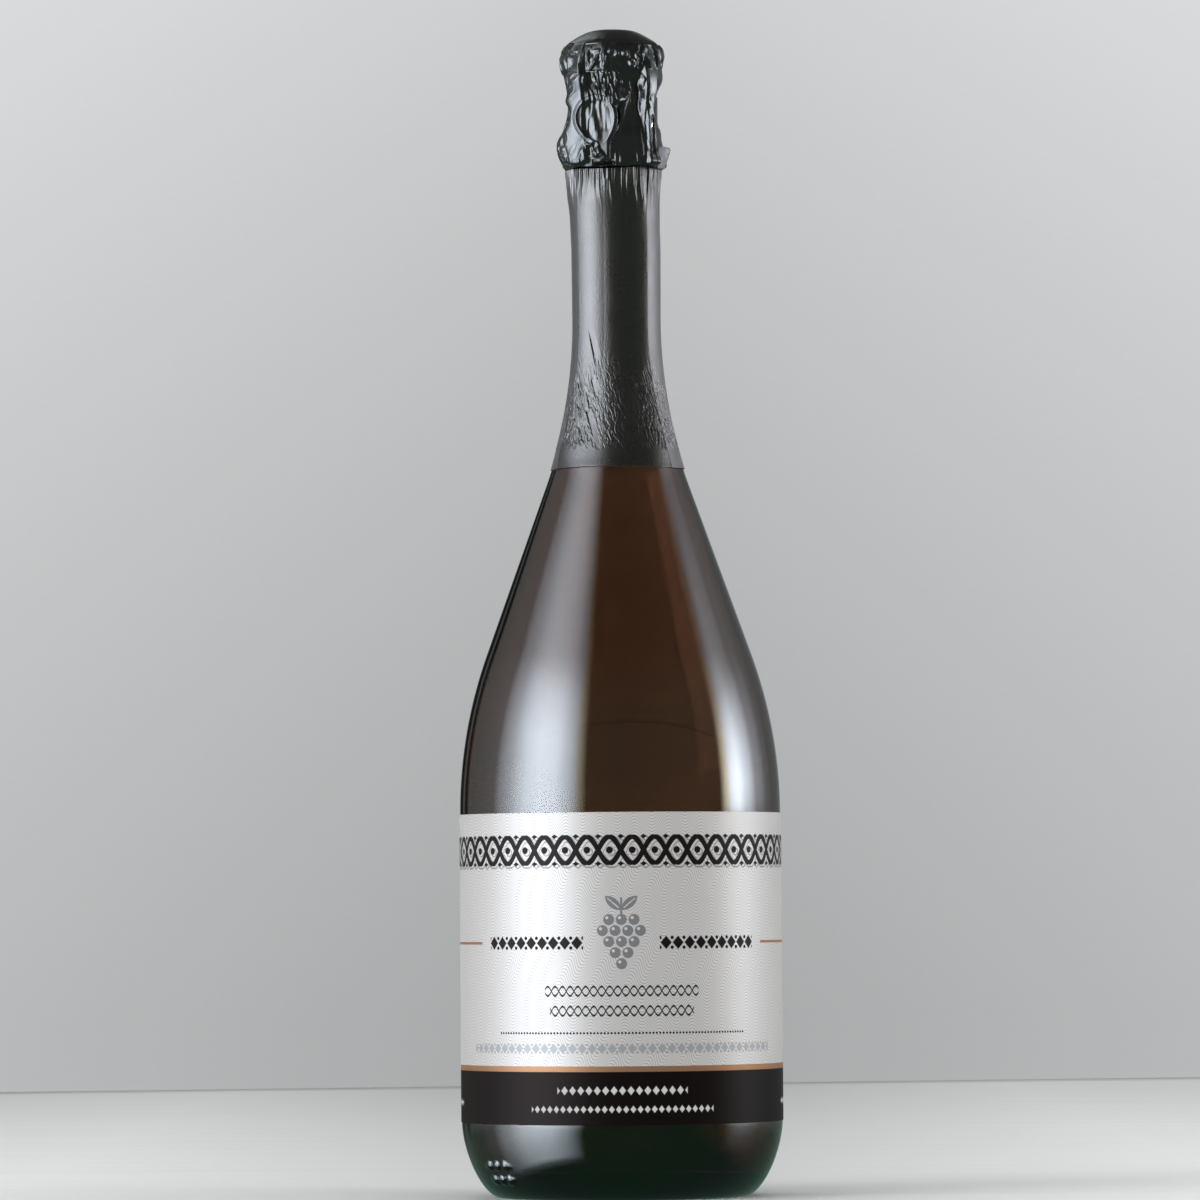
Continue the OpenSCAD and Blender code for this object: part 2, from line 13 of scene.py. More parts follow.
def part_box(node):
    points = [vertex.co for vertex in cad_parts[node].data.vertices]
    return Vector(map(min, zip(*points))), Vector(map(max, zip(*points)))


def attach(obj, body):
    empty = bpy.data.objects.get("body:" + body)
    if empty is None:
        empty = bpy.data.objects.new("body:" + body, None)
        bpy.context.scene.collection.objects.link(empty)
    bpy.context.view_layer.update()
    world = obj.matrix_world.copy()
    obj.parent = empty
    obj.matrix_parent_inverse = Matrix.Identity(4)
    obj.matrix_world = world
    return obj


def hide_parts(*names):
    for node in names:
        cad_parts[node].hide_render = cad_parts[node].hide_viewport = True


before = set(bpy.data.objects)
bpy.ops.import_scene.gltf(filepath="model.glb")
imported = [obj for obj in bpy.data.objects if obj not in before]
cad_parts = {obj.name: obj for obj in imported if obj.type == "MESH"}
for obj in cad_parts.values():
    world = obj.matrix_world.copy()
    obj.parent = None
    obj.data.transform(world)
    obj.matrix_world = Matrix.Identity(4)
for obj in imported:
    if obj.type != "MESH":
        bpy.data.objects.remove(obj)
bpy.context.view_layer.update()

MM = 0.001
FULL_TURN = 360

# Sizes that the frame gives


def frame_size(node, corner, axis):
    """One side of a CAD node's box in millimetres: corner 0 is its lowest, 1 its highest."""
    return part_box(node)[corner][axis] / MM


body_r = frame_size("bottle_glass", 1, 0)
lip_height = frame_size("bottle_glass", 1, 2)
hem_z = frame_size("foil_skirt", 0, 2)
tear_z = frame_size("foil_skirt", 1, 2)
label_foot_z = frame_size("wrap_label", 0, 2)
label_top_z = frame_size("wrap_label", 1, 2)
wine_top_z = frame_size("wine", 1, 2)
hood_foot_z = frame_size("foil_hood", 0, 2)
hood_rim_z = frame_size("foil_hood", 1, 2)
disc_foot_z = frame_size("foil_top_disc", 0, 2)
disc_top_z = frame_size("foil_top_disc", 1, 2)
disc_r = frame_size("foil_top_disc", 1, 0)

# Sizes of the glass, as the CAD model has them
shoulder_z = 106
shoulder_radius = 130
sweep_radius = 137
shoulder_slope = math.radians(19.8)
neck_r = 11.85
throat_r = 12.15
wall = 4.4
neck_wall = 3
bore_r = 8.8
bore_edge = 0.4
bore_foot_z = lip_height - 24 - bore_r / 4
heel_z = 20.4
heel_fullness = 1.6
bearing_r = 34.5
bearing_inner_r = 31.5
trough_r = 33.5
trough_z = 8.5
punt_z = 32
punt_wall = 7
ring_r = 12.9
ring_z = lip_height - 12
ring_half = 3
lip_r = 11.9
lip_round = 1.2
foil = 0.2
skin_gap = 0.1
label_thickness = 0.15
label_wrap = 220
facing = -90

# Where the wire lies under the hood
belt_z = 286.6
leg_spacing = 90
loop_azimuth = -108
loop_width = 11.8
loop_height = 13.2
loop_lean = math.radians(16)
loop_reach = 14.38
stem_length = 4.4
stem_shift = 1.2
wire_r = 0.4
cap_margin = 0.85
tail_half = 1.2


def smooth(t):
    """An even rise from 0 to 1 as t goes from 0 to 1."""
    t = np.clip(t, 0, 1)
    return t * t * (3 - 2 * t)


def bump(t):
    """A bell of height 1 and about 1.7 wide."""
    return np.exp(-t * t)


def mixed(a, b, share):
    return a + (b - a) * share


def spline(points, places):
    """A smooth line through (place, value) points, read at places."""
    x, y = np.array(points, float).T
    slope = np.gradient(y, x)
    i = np.clip(np.searchsorted(x, places) - 1, 0, len(x) - 2)
    width = x[i + 1] - x[i]
    t = np.clip((places - x[i]) / width, 0, 1)
    return (mixed(y[i], y[i + 1], smooth(t)) + width * slope[i] * t * (1 - t) ** 2
            - width * slope[i + 1] * t * t * (1 - t))


def polar(radius, azimuth, z):
    """Points from radius, azimuth in degrees and height, with x, y and z last."""
    angle = np.radians(azimuth)
    return np.stack(np.broadcast_arrays(radius * np.cos(angle), radius * np.sin(angle), z), -1)


def rumple(places, size, shift):
    """Smooth noise from -1 to 1 at places, with lumps of a size."""
    flat = places.reshape(-1, 3) / size + shift
    return np.array([noise.noise(Vector(p)) for p in flat]).reshape(places.shape[:-1])


def round_places(azimuth, z, turns, run):
    """Places for noise on a shell: lumps a turns-th of the girth wide and run millimetres high."""
    return polar(turns / math.tau, azimuth, z / run)


def shell_lumps(azimuth, z, turns, run, shift=0.0):
    """Smooth noise on a shell, from -1 to 1. The shift picks other lumps."""
    return rumple(round_places(azimuth, z, turns, run), 1.0, shift)


def flat_lumps(x, y, shift):
    """Smooth noise on a flat sheet, from -1 to 1, with lumps of size 1."""
    return rumple(np.stack([x, y, 0 * x], -1), 1.0, shift)


# Meshes


def mesh_piece(name, points, faces, smooth_shading=True):
    """A mesh object from points in millimetres."""
    mesh = bpy.data.meshes.new(name)
    mesh.from_pydata([tuple(p * MM) for p in np.asarray(points, float).reshape(-1, 3)], [], faces)
    mesh.polygons.foreach_set("use_smooth", [smooth_shading] * len(faces))
    mesh.update()
    piece = bpy.data.objects.new(name, mesh)
    bpy.context.scene.collection.objects.link(piece)
    return piece


def grid_faces(rows, columns, closed):
    """Quads between neighbouring rows. A closed grid joins its last column to its first."""
    last = columns if closed else columns - 1
    return [(r * columns + c, r * columns + (c + 1) % columns,
             (r + 1) * columns + (c + 1) % columns, (r + 1) * columns + c)
            for r in range(rows - 1) for c in range(last)]


def lathe(name, line, azimuths):
    """A closed solid turned from an outline of (radius, height) points, which may end on the axis."""
    line = np.array(line, float)
    on_axis = line[:, 0] < 1e-6
    points, rings = [], []
    for (r, z), alone in zip(line, on_axis):
        rings.append((len(points), alone))
        points += [(0, 0, z)] if alone else list(polar(r, azimuths, z))
    n = len(azimuths)
    faces = []
    for (a, a_alone), (b, b_alone) in zip(rings, rings[1:]):
        for c in range(n):
            d = (c + 1) % n
            if a_alone and not b_alone:
                faces.append((a, b + d, b + c))
            elif b_alone and not a_alone:
                faces.append((a + c, a + d, b))
            elif not a_alone:
                faces.append((a + c, a + d, b + d, b + c))
    return mesh_piece(name, points, faces)


def thicken(piece, thickness, side=-1.0):
    """Gives a sheet its thickness, inwards by default."""
    shell = piece.modifiers.new("thickness", "SOLIDIFY")
    shell.thickness = thickness * MM
    shell.offset = side
    shell.use_even_offset = False
    return piece


def trim_to(distance, points, faces, band):
    """Cuts a sheet along a line. distance gives each point's way past the line and its direction.

    Points near the line move onto it, and faces with a point past it go."""
    away, direction = distance(points)
    near = np.abs(away) < band
    moved = points.copy()
    moved[near] -= (away[near, None] * direction[near])
    past = (away > 0) & ~near
    kept = [f for f in faces if not any(past[i] for i in f)]
    return moved, kept


def used_only(points, faces):
    """Drops the points that no face uses."""
    used = sorted({i for f in faces for i in f})
    place = {old: new for new, old in enumerate(used)}
    return points[used], [tuple(place[i] for i in f) for f in faces]


# Shader sums


class Value:
    """A number in a material. Sums on it become Math nodes."""

    def __init__(self, paint, socket):
        self.paint, self.socket = paint, socket

    def __add__(self, other):
        return self.paint.math("ADD", self, other)

    def __sub__(self, other):
        return self.paint.math("SUBTRACT", self, other)

    def __rsub__(self, other):
        return self.paint.math("SUBTRACT", other, self)

    def __mul__(self, other):
        return self.paint.math("MULTIPLY", self, other)

    def __truediv__(self, other):
        return self.paint.math("DIVIDE", self, other)

    def __pow__(self, other):
        return self.paint.math("POWER", self, other)

    def __neg__(self):
        return self * -1

    def __abs__(self):
        return self.paint.math("ABSOLUTE", self)

    __radd__ = __add__
    __rmul__ = __mul__

    def max(self, other):
        return self.paint.math("MAXIMUM", self, other)

    def min(self, other):
        return self.paint.math("MINIMUM", self, other)

    def sin(self):
        return self.paint.math("SINE", self)

    def held(self):
        """The value kept between 0 and 1."""
        return self.paint.math("ADD", self, 0, clamp=True)

    def ink(self, edge=0.12):
        """1 where the value, a distance in millimetres, is below zero, with a soft edge."""
        return (0.5 - self / edge).held()

    def repeat(self, pitch):
        """The distance to the nearest multiple of a pitch."""
        return self.paint.math("PINGPONG", self, pitch / 2)


class Paint:
    """A material whose nodes are made by Python sums and one method for every other node."""

    def __init__(self, name):
        self.material = bpy.data.materials.new(name)
        self.material.use_nodes = True
        self.tree = self.material.node_tree
        self.tree.nodes.clear()

    def node(self, kind, settings=None, values=None):
        """A node of a type, with its settings made first, then the values or links of its sockets."""
        made = self.tree.nodes.new("ShaderNode" + kind)
        for key, value in (settings or {}).items():
            if key == "stops":
                ramp = made.color_ramp
                while len(ramp.elements) < len(value):
                    ramp.elements.new(1)
                for element, (place, colour) in zip(ramp.elements, value):
                    element.position, element.color = place, (*colour, 1)
            else:
                setattr(made, key, value)
        for key, value in (values or {}).items():
            if isinstance(value, Value):
                value = value.socket
            if isinstance(value, bpy.types.NodeSocket):
                self.tree.links.new(value, made.inputs[key])
            elif value is not None:
                made.inputs[key].default_value = value
        return made

    def math(self, operation, *values, clamp=False):
        made = self.node("Math", {"operation": operation, "use_clamp": clamp}, dict(enumerate(values)))
        return Value(self, made.outputs[0])

    def place(self, unit=MM):
        """x, y and z in the piece's own frame, in millimetres."""
        spot = self.node("TexCoord").outputs["Object"]
        split = self.node("SeparateXYZ", None, {0: spot})
        return [Value(self, out) / unit for out in split.outputs]

    def spot(self, scale):
        """The place as a vector, stretched by a scale along x, y and z."""
        spot = self.node("TexCoord").outputs["Object"]
        return self.node("VectorMath", {"operation": "MULTIPLY"}, {0: spot, 1: scale}).outputs[0]

    def noise(self, size, detail=2.0, stretch=(1, 1, 1), rough=0.5):
        """Noise from 0 to 1 with lumps of a size in millimetres."""
        scale = tuple(s / (size * MM) for s in stretch)
        made = self.node("TexNoise", None, {"Vector": self.spot(scale), "Scale": 1.0,
                                            "Detail": detail, "Roughness": rough})
        return Value(self, made.outputs["Fac"])

    def cells(self, size, feature, output="Distance"):
        """Cells of a size in millimetres: how far off, or how coloured, the nearest one is."""
        scale = (1 / (size * MM),) * 3
        made = self.node("TexVoronoi", {"feature": feature}, {"Vector": self.spot(scale), "Scale": 1.0})
        return made.outputs[output]

    def ramp(self, factor, stops):
        """The colour that a table of stops, from 0 to 1, gives for a factor."""
        return self.node("ValToRGB", {"stops": stops}, {0: factor}).outputs[0]

    def red(self, colour):
        """The first channel of a colour as a number, which is all of a grey."""
        return Value(self, self.node("SeparateColor", None, {0: colour}).outputs[0])

    def join(self, red, green, blue):
        return self.node("CombineColor", None, {0: red, 1: green, 2: blue}).outputs[0]

    def vector(self, operation, one, two):
        """A sum on two colours or vectors."""
        return self.node("VectorMath", {"operation": operation}, {0: one, 1: two}).outputs[0]

    def scaled(self, colour, factor):
        return self.node("VectorMath", {"operation": "SCALE"}, {0: colour, "Scale": factor}).outputs[0]

    def blend(self, factor, a, b):
        """Colour a where the factor is 0, and b where it is 1."""
        a, b = [(*c, 1) if isinstance(c, tuple) else c for c in (a, b)]
        return self.node("Mix", {"data_type": "RGBA"}, {0: factor, 6: a, 7: b}).outputs[2]

    def raised(self, height, depth, normal=None):
        """A normal for a height from 0 to 1 that stands depth millimetres proud."""
        made = self.node("Bump", None, {"Strength": 1.0, "Distance": depth * MM, "Height": height,
                                        "Normal": normal})
        return made.outputs[0]

    def finish(self, volume=None, **values):
        """The shader, with sockets named in words joined by underscores."""
        inputs = {key.replace("_", " ").title().replace("Ior", "IOR"): value for key, value in values.items()}
        inputs = {key: (*v, 1) if isinstance(v, tuple) and len(v) == 3 else v
                  for key, v in inputs.items()}
        shader = self.node("BsdfPrincipled", None, inputs)
        self.node("OutputMaterial", None, {"Surface": shader.outputs[0], "Volume": volume})
        return self.material


# Glass and wine


def arc_drop(radius, run):
    """How far an arc has left its tangent after a run along it."""
    return radius - math.sqrt(radius ** 2 - run ** 2)


def steps(a, b, n):
    return [a + (b - a) * i / n for i in range(n + 1)]


bend_depth = (shoulder_radius + sweep_radius) * (1 - math.cos(shoulder_slope))
slope_foot_z = shoulder_z + shoulder_radius * math.sin(shoulder_slope)
slope_foot_r = body_r - shoulder_radius * (1 - math.cos(shoulder_slope))
slope_top_z = slope_foot_z + (body_r - neck_r - bend_depth) / math.tan(shoulder_slope)
neck_foot_z = slope_top_z + sweep_radius * math.sin(shoulder_slope)


def glass_r(z):
    """Outside radius of the glass at a height below the ring."""
    if z < shoulder_z:
        return body_r
    if z < slope_foot_z:
        return body_r - arc_drop(shoulder_radius, z - shoulder_z)
    if z < slope_top_z:
        return slope_foot_r - (z - slope_foot_z) * math.tan(shoulder_slope)
    if z < neck_foot_z:
        return neck_r + arc_drop(sweep_radius, neck_foot_z - z)
    return mixed(neck_r, throat_r, (z - neck_foot_z) / (ring_z - ring_half - neck_foot_z))


def cavity_r(z):
    """Inside radius of the glass at a height above the heel."""
    if z < neck_foot_z:
        share = max(0, z - shoulder_z) / (neck_foot_z - shoulder_z)
        return glass_r(z) - mixed(wall, neck_wall, share)
    return mixed(neck_r - neck_wall, bore_r, min(1, (z - neck_foot_z) / (bore_foot_z - neck_foot_z)))


def heel_line(foot_r, foot_z, wall_r, wall_z, count=24):
    """A quarter of a full-bellied heel, from its foot out to the wall."""
    angles = steps(0, math.pi / 2, count)
    return [(mixed(foot_r, wall_r, math.sin(a) ** (2 / heel_fullness)),
             mixed(wall_z, foot_z, max(0, math.cos(a)) ** (2 / heel_fullness))) for a in angles]


bell_steps = 28


def bell_line(r, foot_z, top_z):
    """The bell of the punt, from the middle outwards."""
    return [(r * t, mixed(foot_z, top_z, (1 + math.cos(math.pi * t)) / 2)) for t in steps(0, 1, bell_steps)]


wall_heights = steps(shoulder_z, slope_foot_z, 24) + steps(slope_top_z, neck_foot_z, 28)


def cavity_line(gap):
    """The cavity from the middle of its floor up to the neck, drawn in by a gap."""
    heel = heel_line(trough_r, trough_z + gap, body_r - wall - gap, heel_z + wall)
    return (bell_line(trough_r, trough_z + gap, punt_z + punt_wall + gap)
            + [p for p in heel if p[0] > trough_r]
            + [(cavity_r(z) - gap, z) for z in wall_heights])


def outside_line():
    """The outside above the heel: wall, glass ring and lip, and down into the mouth."""
    ring = []
    for a in steps(-math.pi / 2, math.pi / 2, 16):
        flat = mixed(throat_r, lip_r, (1 + math.sin(a)) / 2)
        ring.append((mixed(flat, ring_r, math.cos(a)), ring_z + ring_half * math.sin(a)))
    lip = [(lip_r - lip_round * (1 - math.cos(a)), lip_height - lip_round * (1 - math.sin(a)))
           for a in steps(0, math.pi / 2, 8)]
    mouth = [(bore_r + bore_edge, lip_height), (bore_r, lip_height - bore_edge), (bore_r, bore_foot_z)]
    return [(glass_r(z), z) for z in wall_heights] + ring + lip + mouth


# Raised dots that the mould leaves on the heel
dot_azimuths = (-150.5, -145.5, -140.5)
dot_heights = (5.4, 9.4)
dot_size = 1.75
dot_height = 0.75
dot_squash = 1.15
dot_fullness = 0.7
dot_droop = 0.35
dot_margin = 2


def mould_dots(piece):
    """Raises the glass in two rows of round dots."""
    spots = [(*polar(1, azimuth, 0)[:2], z) for azimuth in dot_azimuths for z in dot_heights]
    foot, top = dot_heights[0] - dot_margin, dot_heights[-1] + dot_margin
    for vertex in piece.data.vertices:
        x, y, z = vertex.co / MM
        reach = math.hypot(x, y)
        if z > top or z < foot or reach < bearing_r + 1:
            continue
        outwards = Vector((x / reach, y / reach, -dot_droop)).normalized()
        for spot in spots:
            alike = max(-1, min(1, (x * spot[0] + y * spot[1]) / reach))
            across, up = reach * math.acos(alike), (z - spot[2]) * dot_squash
            share = max(0, 1 - (across ** 2 + up ** 2) / dot_size ** 2)
            vertex.co += outwards * dot_height * share ** dot_fullness * MM


def fine_azimuths():
    """Azimuths round the bottle, closer together at the mould's dots."""
    first, last = min(dot_azimuths) - dot_margin, max(dot_azimuths) + dot_margin
    return np.array(steps(first, last, 90)[:-1] + steps(last, first + FULL_TURN, 230)[:-1])


def bottle_glass():
    """The whole wall, from the bearing ring up, over the lip, down the cavity and under the punt."""
    heel = heel_line(bearing_r, 0, body_r, heel_z, 120)
    underside = bell_line(bearing_inner_r, 0, punt_z) + [(bearing_r, 0)]
    line = heel + outside_line() + cavity_line(0)[::-1] + underside
    piece = lathe("glass", line, fine_azimuths())
    mould_dots(piece)
    return piece


wine_lap = 0.05
# How the wine creeps up the glass: millimetres in from the glass, and down from the top
meniscus_points = [(0, 0), (0.5, 0.4), (1.6, 0.75), (3.5, 0.9)]
meniscus_depth = 0.95


def wine_body():
    """The wine laps a little into the glass, so that light passes from one to the other."""
    line = [p for i, p in enumerate(cavity_line(-wine_lap)) if i <= bell_steps or p[1] < wine_top_z - 1]
    top_r = cavity_r(wine_top_z)
    meniscus = [(top_r - inwards, wine_top_z - down) for inwards, down in meniscus_points]
    meniscus += [(0, wine_top_z - meniscus_depth)]
    azimuths = np.array(steps(0, FULL_TURN, 160)[:-1])
    return lathe("wine_body", [(0, line[0][1])] + line[1:] + meniscus, azimuths)


def glass_paint():
    paint = Paint("dark_glass")
    waves = paint.raised(paint.noise(34, 1.5, (1, 1, 0.4)), 0.3)
    darkness = paint.node("VolumeAbsorption", None, {"Color": (0.44, 0.245, 0.1, 1), "Density": 520.0})
    # The thinner wall of shoulder and neck would let more light through than the body's
    up_shoulder = ((paint.place()[2] - shoulder_z) / 60).held()
    colour = paint.blend(up_shoulder, (1, 1, 1), (0.8, 0.74, 0.7))
    return paint.finish(darkness.outputs[0], base_color=colour, roughness=0.012, ior=1.52,
                        transmission_weight=1.0, normal=waves)


def wine_paint():
    paint = Paint("wine")
    tint = paint.node("VolumeAbsorption", None, {"Color": (0.95, 0.86, 0.55, 1), "Density": 6.0})
    return paint.finish(tint.outputs[0], base_color=(1, 1, 1), roughness=0.0, ior=1.34,
                        transmission_weight=1.0)


# Label

label_r = body_r + skin_gap / 2 + label_thickness
copper_z = (35.3, 36.8)
frieze_z = 95.5
leaf_z = 79.2
berries_z = 76.6
chain_z = 70.3
print_colours = {"ink": (0.011, 0.009, 0.009), "grey": (0.2, 0.2, 0.21), "shade": (0.2, 0.19, 0.19),
                 "paper": (0.6, 0.573, 0.562), "lines": (0.385, 0.367, 0.36), "copper": (0.29, 0.15, 0.08),
                 "band": (0.0072, 0.0045, 0.0044), "white": (0.6, 0.58, 0.57), "pale": (0.34, 0.34, 0.345)}


def lozenge_row(s, z, middle, height, pitch, width):
    """A row of lozenges. s runs round the label and z up it."""
    return (s.repeat(pitch) / (width / 2) + abs(z - middle) / (height / 2) - 1) * (height / 4)


def chain_row(s, z, middle, height, pitch):
    """A close row of lozenges with small beads between their points."""
    beads = dot_row(s + pitch / 2, abs(z - middle), height * 0.36, height * 0.13, pitch)
    return lozenge_row(s, z, middle, height, pitch, pitch * 0.94).min(beads)


def dot_row(s, z, middle, radius, pitch):
    across, up = s.repeat(pitch), z - middle
    return (across * across + up * up) ** 0.5 - radius


def twined_row(s, z, middle, half, pitch):
    """Two thin lines that twine round each other."""
    swing = (s * (math.tau / pitch)).sin() * half
    line_half, steepness = 0.3, 0.55
    return (abs(z - middle - swing).min(abs(z - middle + swing)) - line_half) * steepness


def between(value, low, high):
    """A distance that is below zero between two places."""
    return abs(value - (low + high) / 2) - (high - low) / 2


def frieze(s, z):
    """Two strands that cross, heavy where they rise and fine where they turn, with dots in the eyes."""
    pitch, half, steepness = 12.4, 3.5, 0.72
    up = z - frieze_z
    turn = s * (math.tau / pitch)
    weight = 0.42 + abs((turn + math.pi / 2).sin()) * 0.62
    swing = turn.sin() * half
    strands = (abs(up - swing) * steepness - weight).min(abs(up + swing) * steepness - weight)
    eyes = dot_row(s + pitch / 4, z, frieze_z, 0.95, pitch / 2)
    tips = (s.repeat(pitch / 2) * 0.9 + abs(abs(up) - half - 0.2) * 1.3 - 0.85) * 0.6
    return strands.min(eyes).min(tips)


def grapes(s, z, radius, shift):
    """A bunch of round berries in rows."""
    pitch, drop = 3.45, 3.0
    bunch = None
    for row, count in enumerate((3, 4, 3, 2, 1)):
        across = s + shift + (0 if count % 2 else pitch / 2)
        berries = dot_row(across, z - shift, berries_z - drop * row, radius, pitch)
        berries = berries.max(abs(s) - count * pitch / 2)
        bunch = berries if bunch is None else bunch.min(berries)
    return bunch


def leaves(s, z):
    """Two pointed leaves and a stalk over the bunch."""
    side, up = abs(s), z - leaf_z
    along, beside = side * 0.76 + up * 0.65 - 2.9, up * 0.76 - side * 0.65
    half = abs(beside) + 2.6
    lens = (along * along + half * half) ** 0.5 - 3.9
    vein = (abs(beside) - 0.16).max(abs(along) - 2)
    stalk = (side - 0.3).max(between(z, leaf_z - 1.4, leaf_z + 3.4))
    return lens.max(-vein).min(stalk)


def paper_lines(s, z):
    """Fine wavy lines all over the paper, as shares from 0 to 1."""
    drift = (z * (math.tau / 26)).sin() * 0.8
    wave = z + (s * (math.tau / 9.5) - z * 0.16 + drift).sin() * 2.1
    return ((wave * (math.tau / 0.86)).sin() * 1.3 - 0.25).held()


def paper_prints(s, z):
    """What is printed on the paper, from the frieze down, each as a distance and its colour."""
    side = abs(s)
    return [
        (frieze(s, z), "ink"),
        (grapes(s, z, 1.5, 0).min(leaves(s, z)), "grey"),
        (chain_row(side - 12.3, z, chain_z, 3.7, 3.44).max(between(side, 10.5, 41.4)), "ink"),
        ((abs(z - chain_z) - 0.36).max(45.6 - side), "copper"),
        (twined_row(s, z, 57.2, 1.25, 4.4).max(side - 21.75), "ink"),
        (twined_row(s, z, 51.8, 1.25, 4.4).max(side - 20.3), "ink"),
        (dot_row(s, z, 45.8, 0.3, 0.95).max(side - 37.5), "ink"),
        (chain_row(s, z, 41.6, 2.9, 2.75).max(side - 49.6), "pale"),
    ]


def white_rows(s, z):
    """The rows of white lozenges on the dark band: two in the middle and one at each side."""
    upper = lozenge_row(s, z, 30.2, 2.4, 2.3, 1.9).max(abs(s) - 18.2)
    lower = lozenge_row(s + 1, z, 25.1, 2.0, 1.95, 1.6).max(abs(s) - 26.2)
    outer = lozenge_row(s, z, 26.4, 2.0, 1.95, 1.6).max(between(abs(s), 60.8, 68.4))
    return upper.min(lower).min(outer)


def label_paint():
    """Printed satin paper. The glued side is plain."""
    paint = Paint("printed_label")
    x, y, z = paint.place()
    s = paint.math("ARCTAN2", x, -y) * label_r
    colours = print_colours
    colour = paint.blend(paper_lines(s, z), colours["paper"], colours["lines"])
    shade = (abs(frieze(s - 0.6, z + 0.55)) - 0.17).ink(0.15)
    colour = paint.blend(shade * 0.85, colour, colours["shade"])
    for distance, name in paper_prints(s, z):
        colour = paint.blend(distance.ink(), colour, colours[name])
    colour = paint.blend(grapes(s, z, 0.42, 0.5).ink(), colour, colours["paper"])
    copper = between(z, *copper_z).ink(0.06)
    band = (z - copper_z[0]).ink(0.06)
    colour = paint.blend(band, colour, colours["band"])
    colour = paint.blend(white_rows(s, z).ink(), colour, colours["white"])
    colour = paint.blend(copper, colour, colours["copper"])
    inside = ((label_r - label_thickness / 2 - (x * x + y * y) ** 0.5) * 30).held()
    colour = paint.blend(inside, colour, colours["paper"])
    gleam = copper * 0.26 + (1 - band) * (1 - copper) * 0.118
    grain = paint.noise(0.35, 3)
    gloss = grain * 0.08 + 0.37 + copper * 0.03 - band * 0.03
    stamped = paint.raised(copper + shade * 0.4, 0.03, paint.raised(grain, 0.006))
    return paint.finish(base_color=colour, metallic=gleam, roughness=gloss,
                        specular_ior_level=0.04, specular_tint=(1, 0.9, 0.87), normal=stamped)


def wrap_label():
    """The paper, wrapped round the front, with its edges a little rounded."""
    azimuths = np.array(steps(facing - label_wrap / 2, facing + label_wrap / 2, 240))
    inner, outer = label_r - label_thickness, label_r
    soft = 0.05
    heights = [label_foot_z] + steps(label_foot_z + soft, label_top_z - soft, 12) + [label_top_z]
    outside = [polar(outer - (soft if z in (label_foot_z, label_top_z) else 0), azimuths, z) for z in heights]
    inside = [polar(inner, azimuths, z) for z in heights[::-1]]
    rows = outside + inside + outside[:1]
    count, columns = len(rows), len(azimuths)
    faces = grid_faces(count, columns, False)
    ends = [[r * columns + c for r in range(count - 1)] for c in (0, columns - 1)]
    faces += [tuple(ends[0]), tuple(ends[1][::-1])]
    piece = mesh_piece("label", np.array(rows), faces)
    weld(piece)
    crisp(piece, crisp_angle)
    return piece


weld_reach = 0.001
crisp_angle = 40


def weld(piece):
    """Joins points that lie on each other."""
    joined = piece.modifiers.new("weld", "WELD")
    joined.merge_threshold = weld_reach * MM


def crisp(piece, degrees):
    """Keeps edges sharper than an angle crisp."""
    piece.data.set_sharp_from_angle(angle=math.radians(degrees))


# Foil


# Tone, roughness, depth and size of the grain in millimetres, and sheen
neck_lacquer = ((0.038, 0.035, 0.033), 0.22, 0.05, 0.5, 0.3)
hood_lacquer = ((0.034, 0.034, 0.033), 0.13, 0.02, 0.8, 0.08)
tab_lacquer = ((0.12, 0.112, 0.115), 0.36, 0.03, 0.9, 0.3)
# How thick the foil is drawn, as shares of its thickness in the CAD model
sheet_share = 0.8
pressed_share = 0.7


def foil_paint(name, tone, rough, grain_depth, grain_size, sheen, laps=None):
    """Dark lacquer over metal foil, with a fine drawn grain and a slightly uneven gloss. Given laps, it gets
    painted sheen beyond each lap and painted shade along it.
    """
    paint = Paint(name)
    patches = paint.noise(6, 3)
    grain = paint.noise(grain_size, 3, (1, 1, 0.5), 0.6)
    normal = paint.raised(grain, grain_depth)
    worn = ((patches - 0.62) * 6).held() * 0.35
    colour = paint.blend(worn, tone, tuple(t * 1.7 for t in tone))
    gloss = patches * 0.12 + rough
    if laps:
        # Painted light: a paler tone beyond each lap as painted sheen, and a near-black line along it as
        # painted shade
        painted_sheen, painted_shade = laps(paint)
        colour = paint.blend(painted_sheen, colour, lap_sheen_tone)
        colour = paint.blend(painted_shade * 0.9, colour, lap_shade_tone)
        gloss = gloss + painted_sheen * 0.35
    return paint.finish(base_color=colour, metallic=0.7, roughness=gloss, specular_ior_level=0.5,
                        sheen_weight=sheen, sheen_roughness=0.3, sheen_tint=(0.95, 0.86, 0.9),
                        normal=normal)


# Where the neck foil laps over itself, at the left (-1) and right (1), with painted sheen on the foil beyond
# each lap:
# degrees from the front, further degrees down the neck, and how bright that painted sheen is
lap_places = {-1: (-54, -10, 0.3), 1: (44, 9, 0.6)}
# How proud the foil stands before each lap, and over how many degrees it swells up to that
lap_swells = {-1: (0.95, 38), 1: (0.5, 28)}
lap_end = 96
lap_bend_z = 240
lap_bend_run = 40
# Colours of the painted sheen beyond each lap and of the painted shade along it
lap_sheen_tone = (0.17, 0.155, 0.158)
lap_shade_tone = (0.004, 0.004, 0.004)


def lap_place(z, side):
    """Degrees from the front at which a lap starts, further out down the neck."""
    start, spread, _ = lap_places[side]
    return start + spread * smooth((lap_bend_z - z) / lap_bend_run)


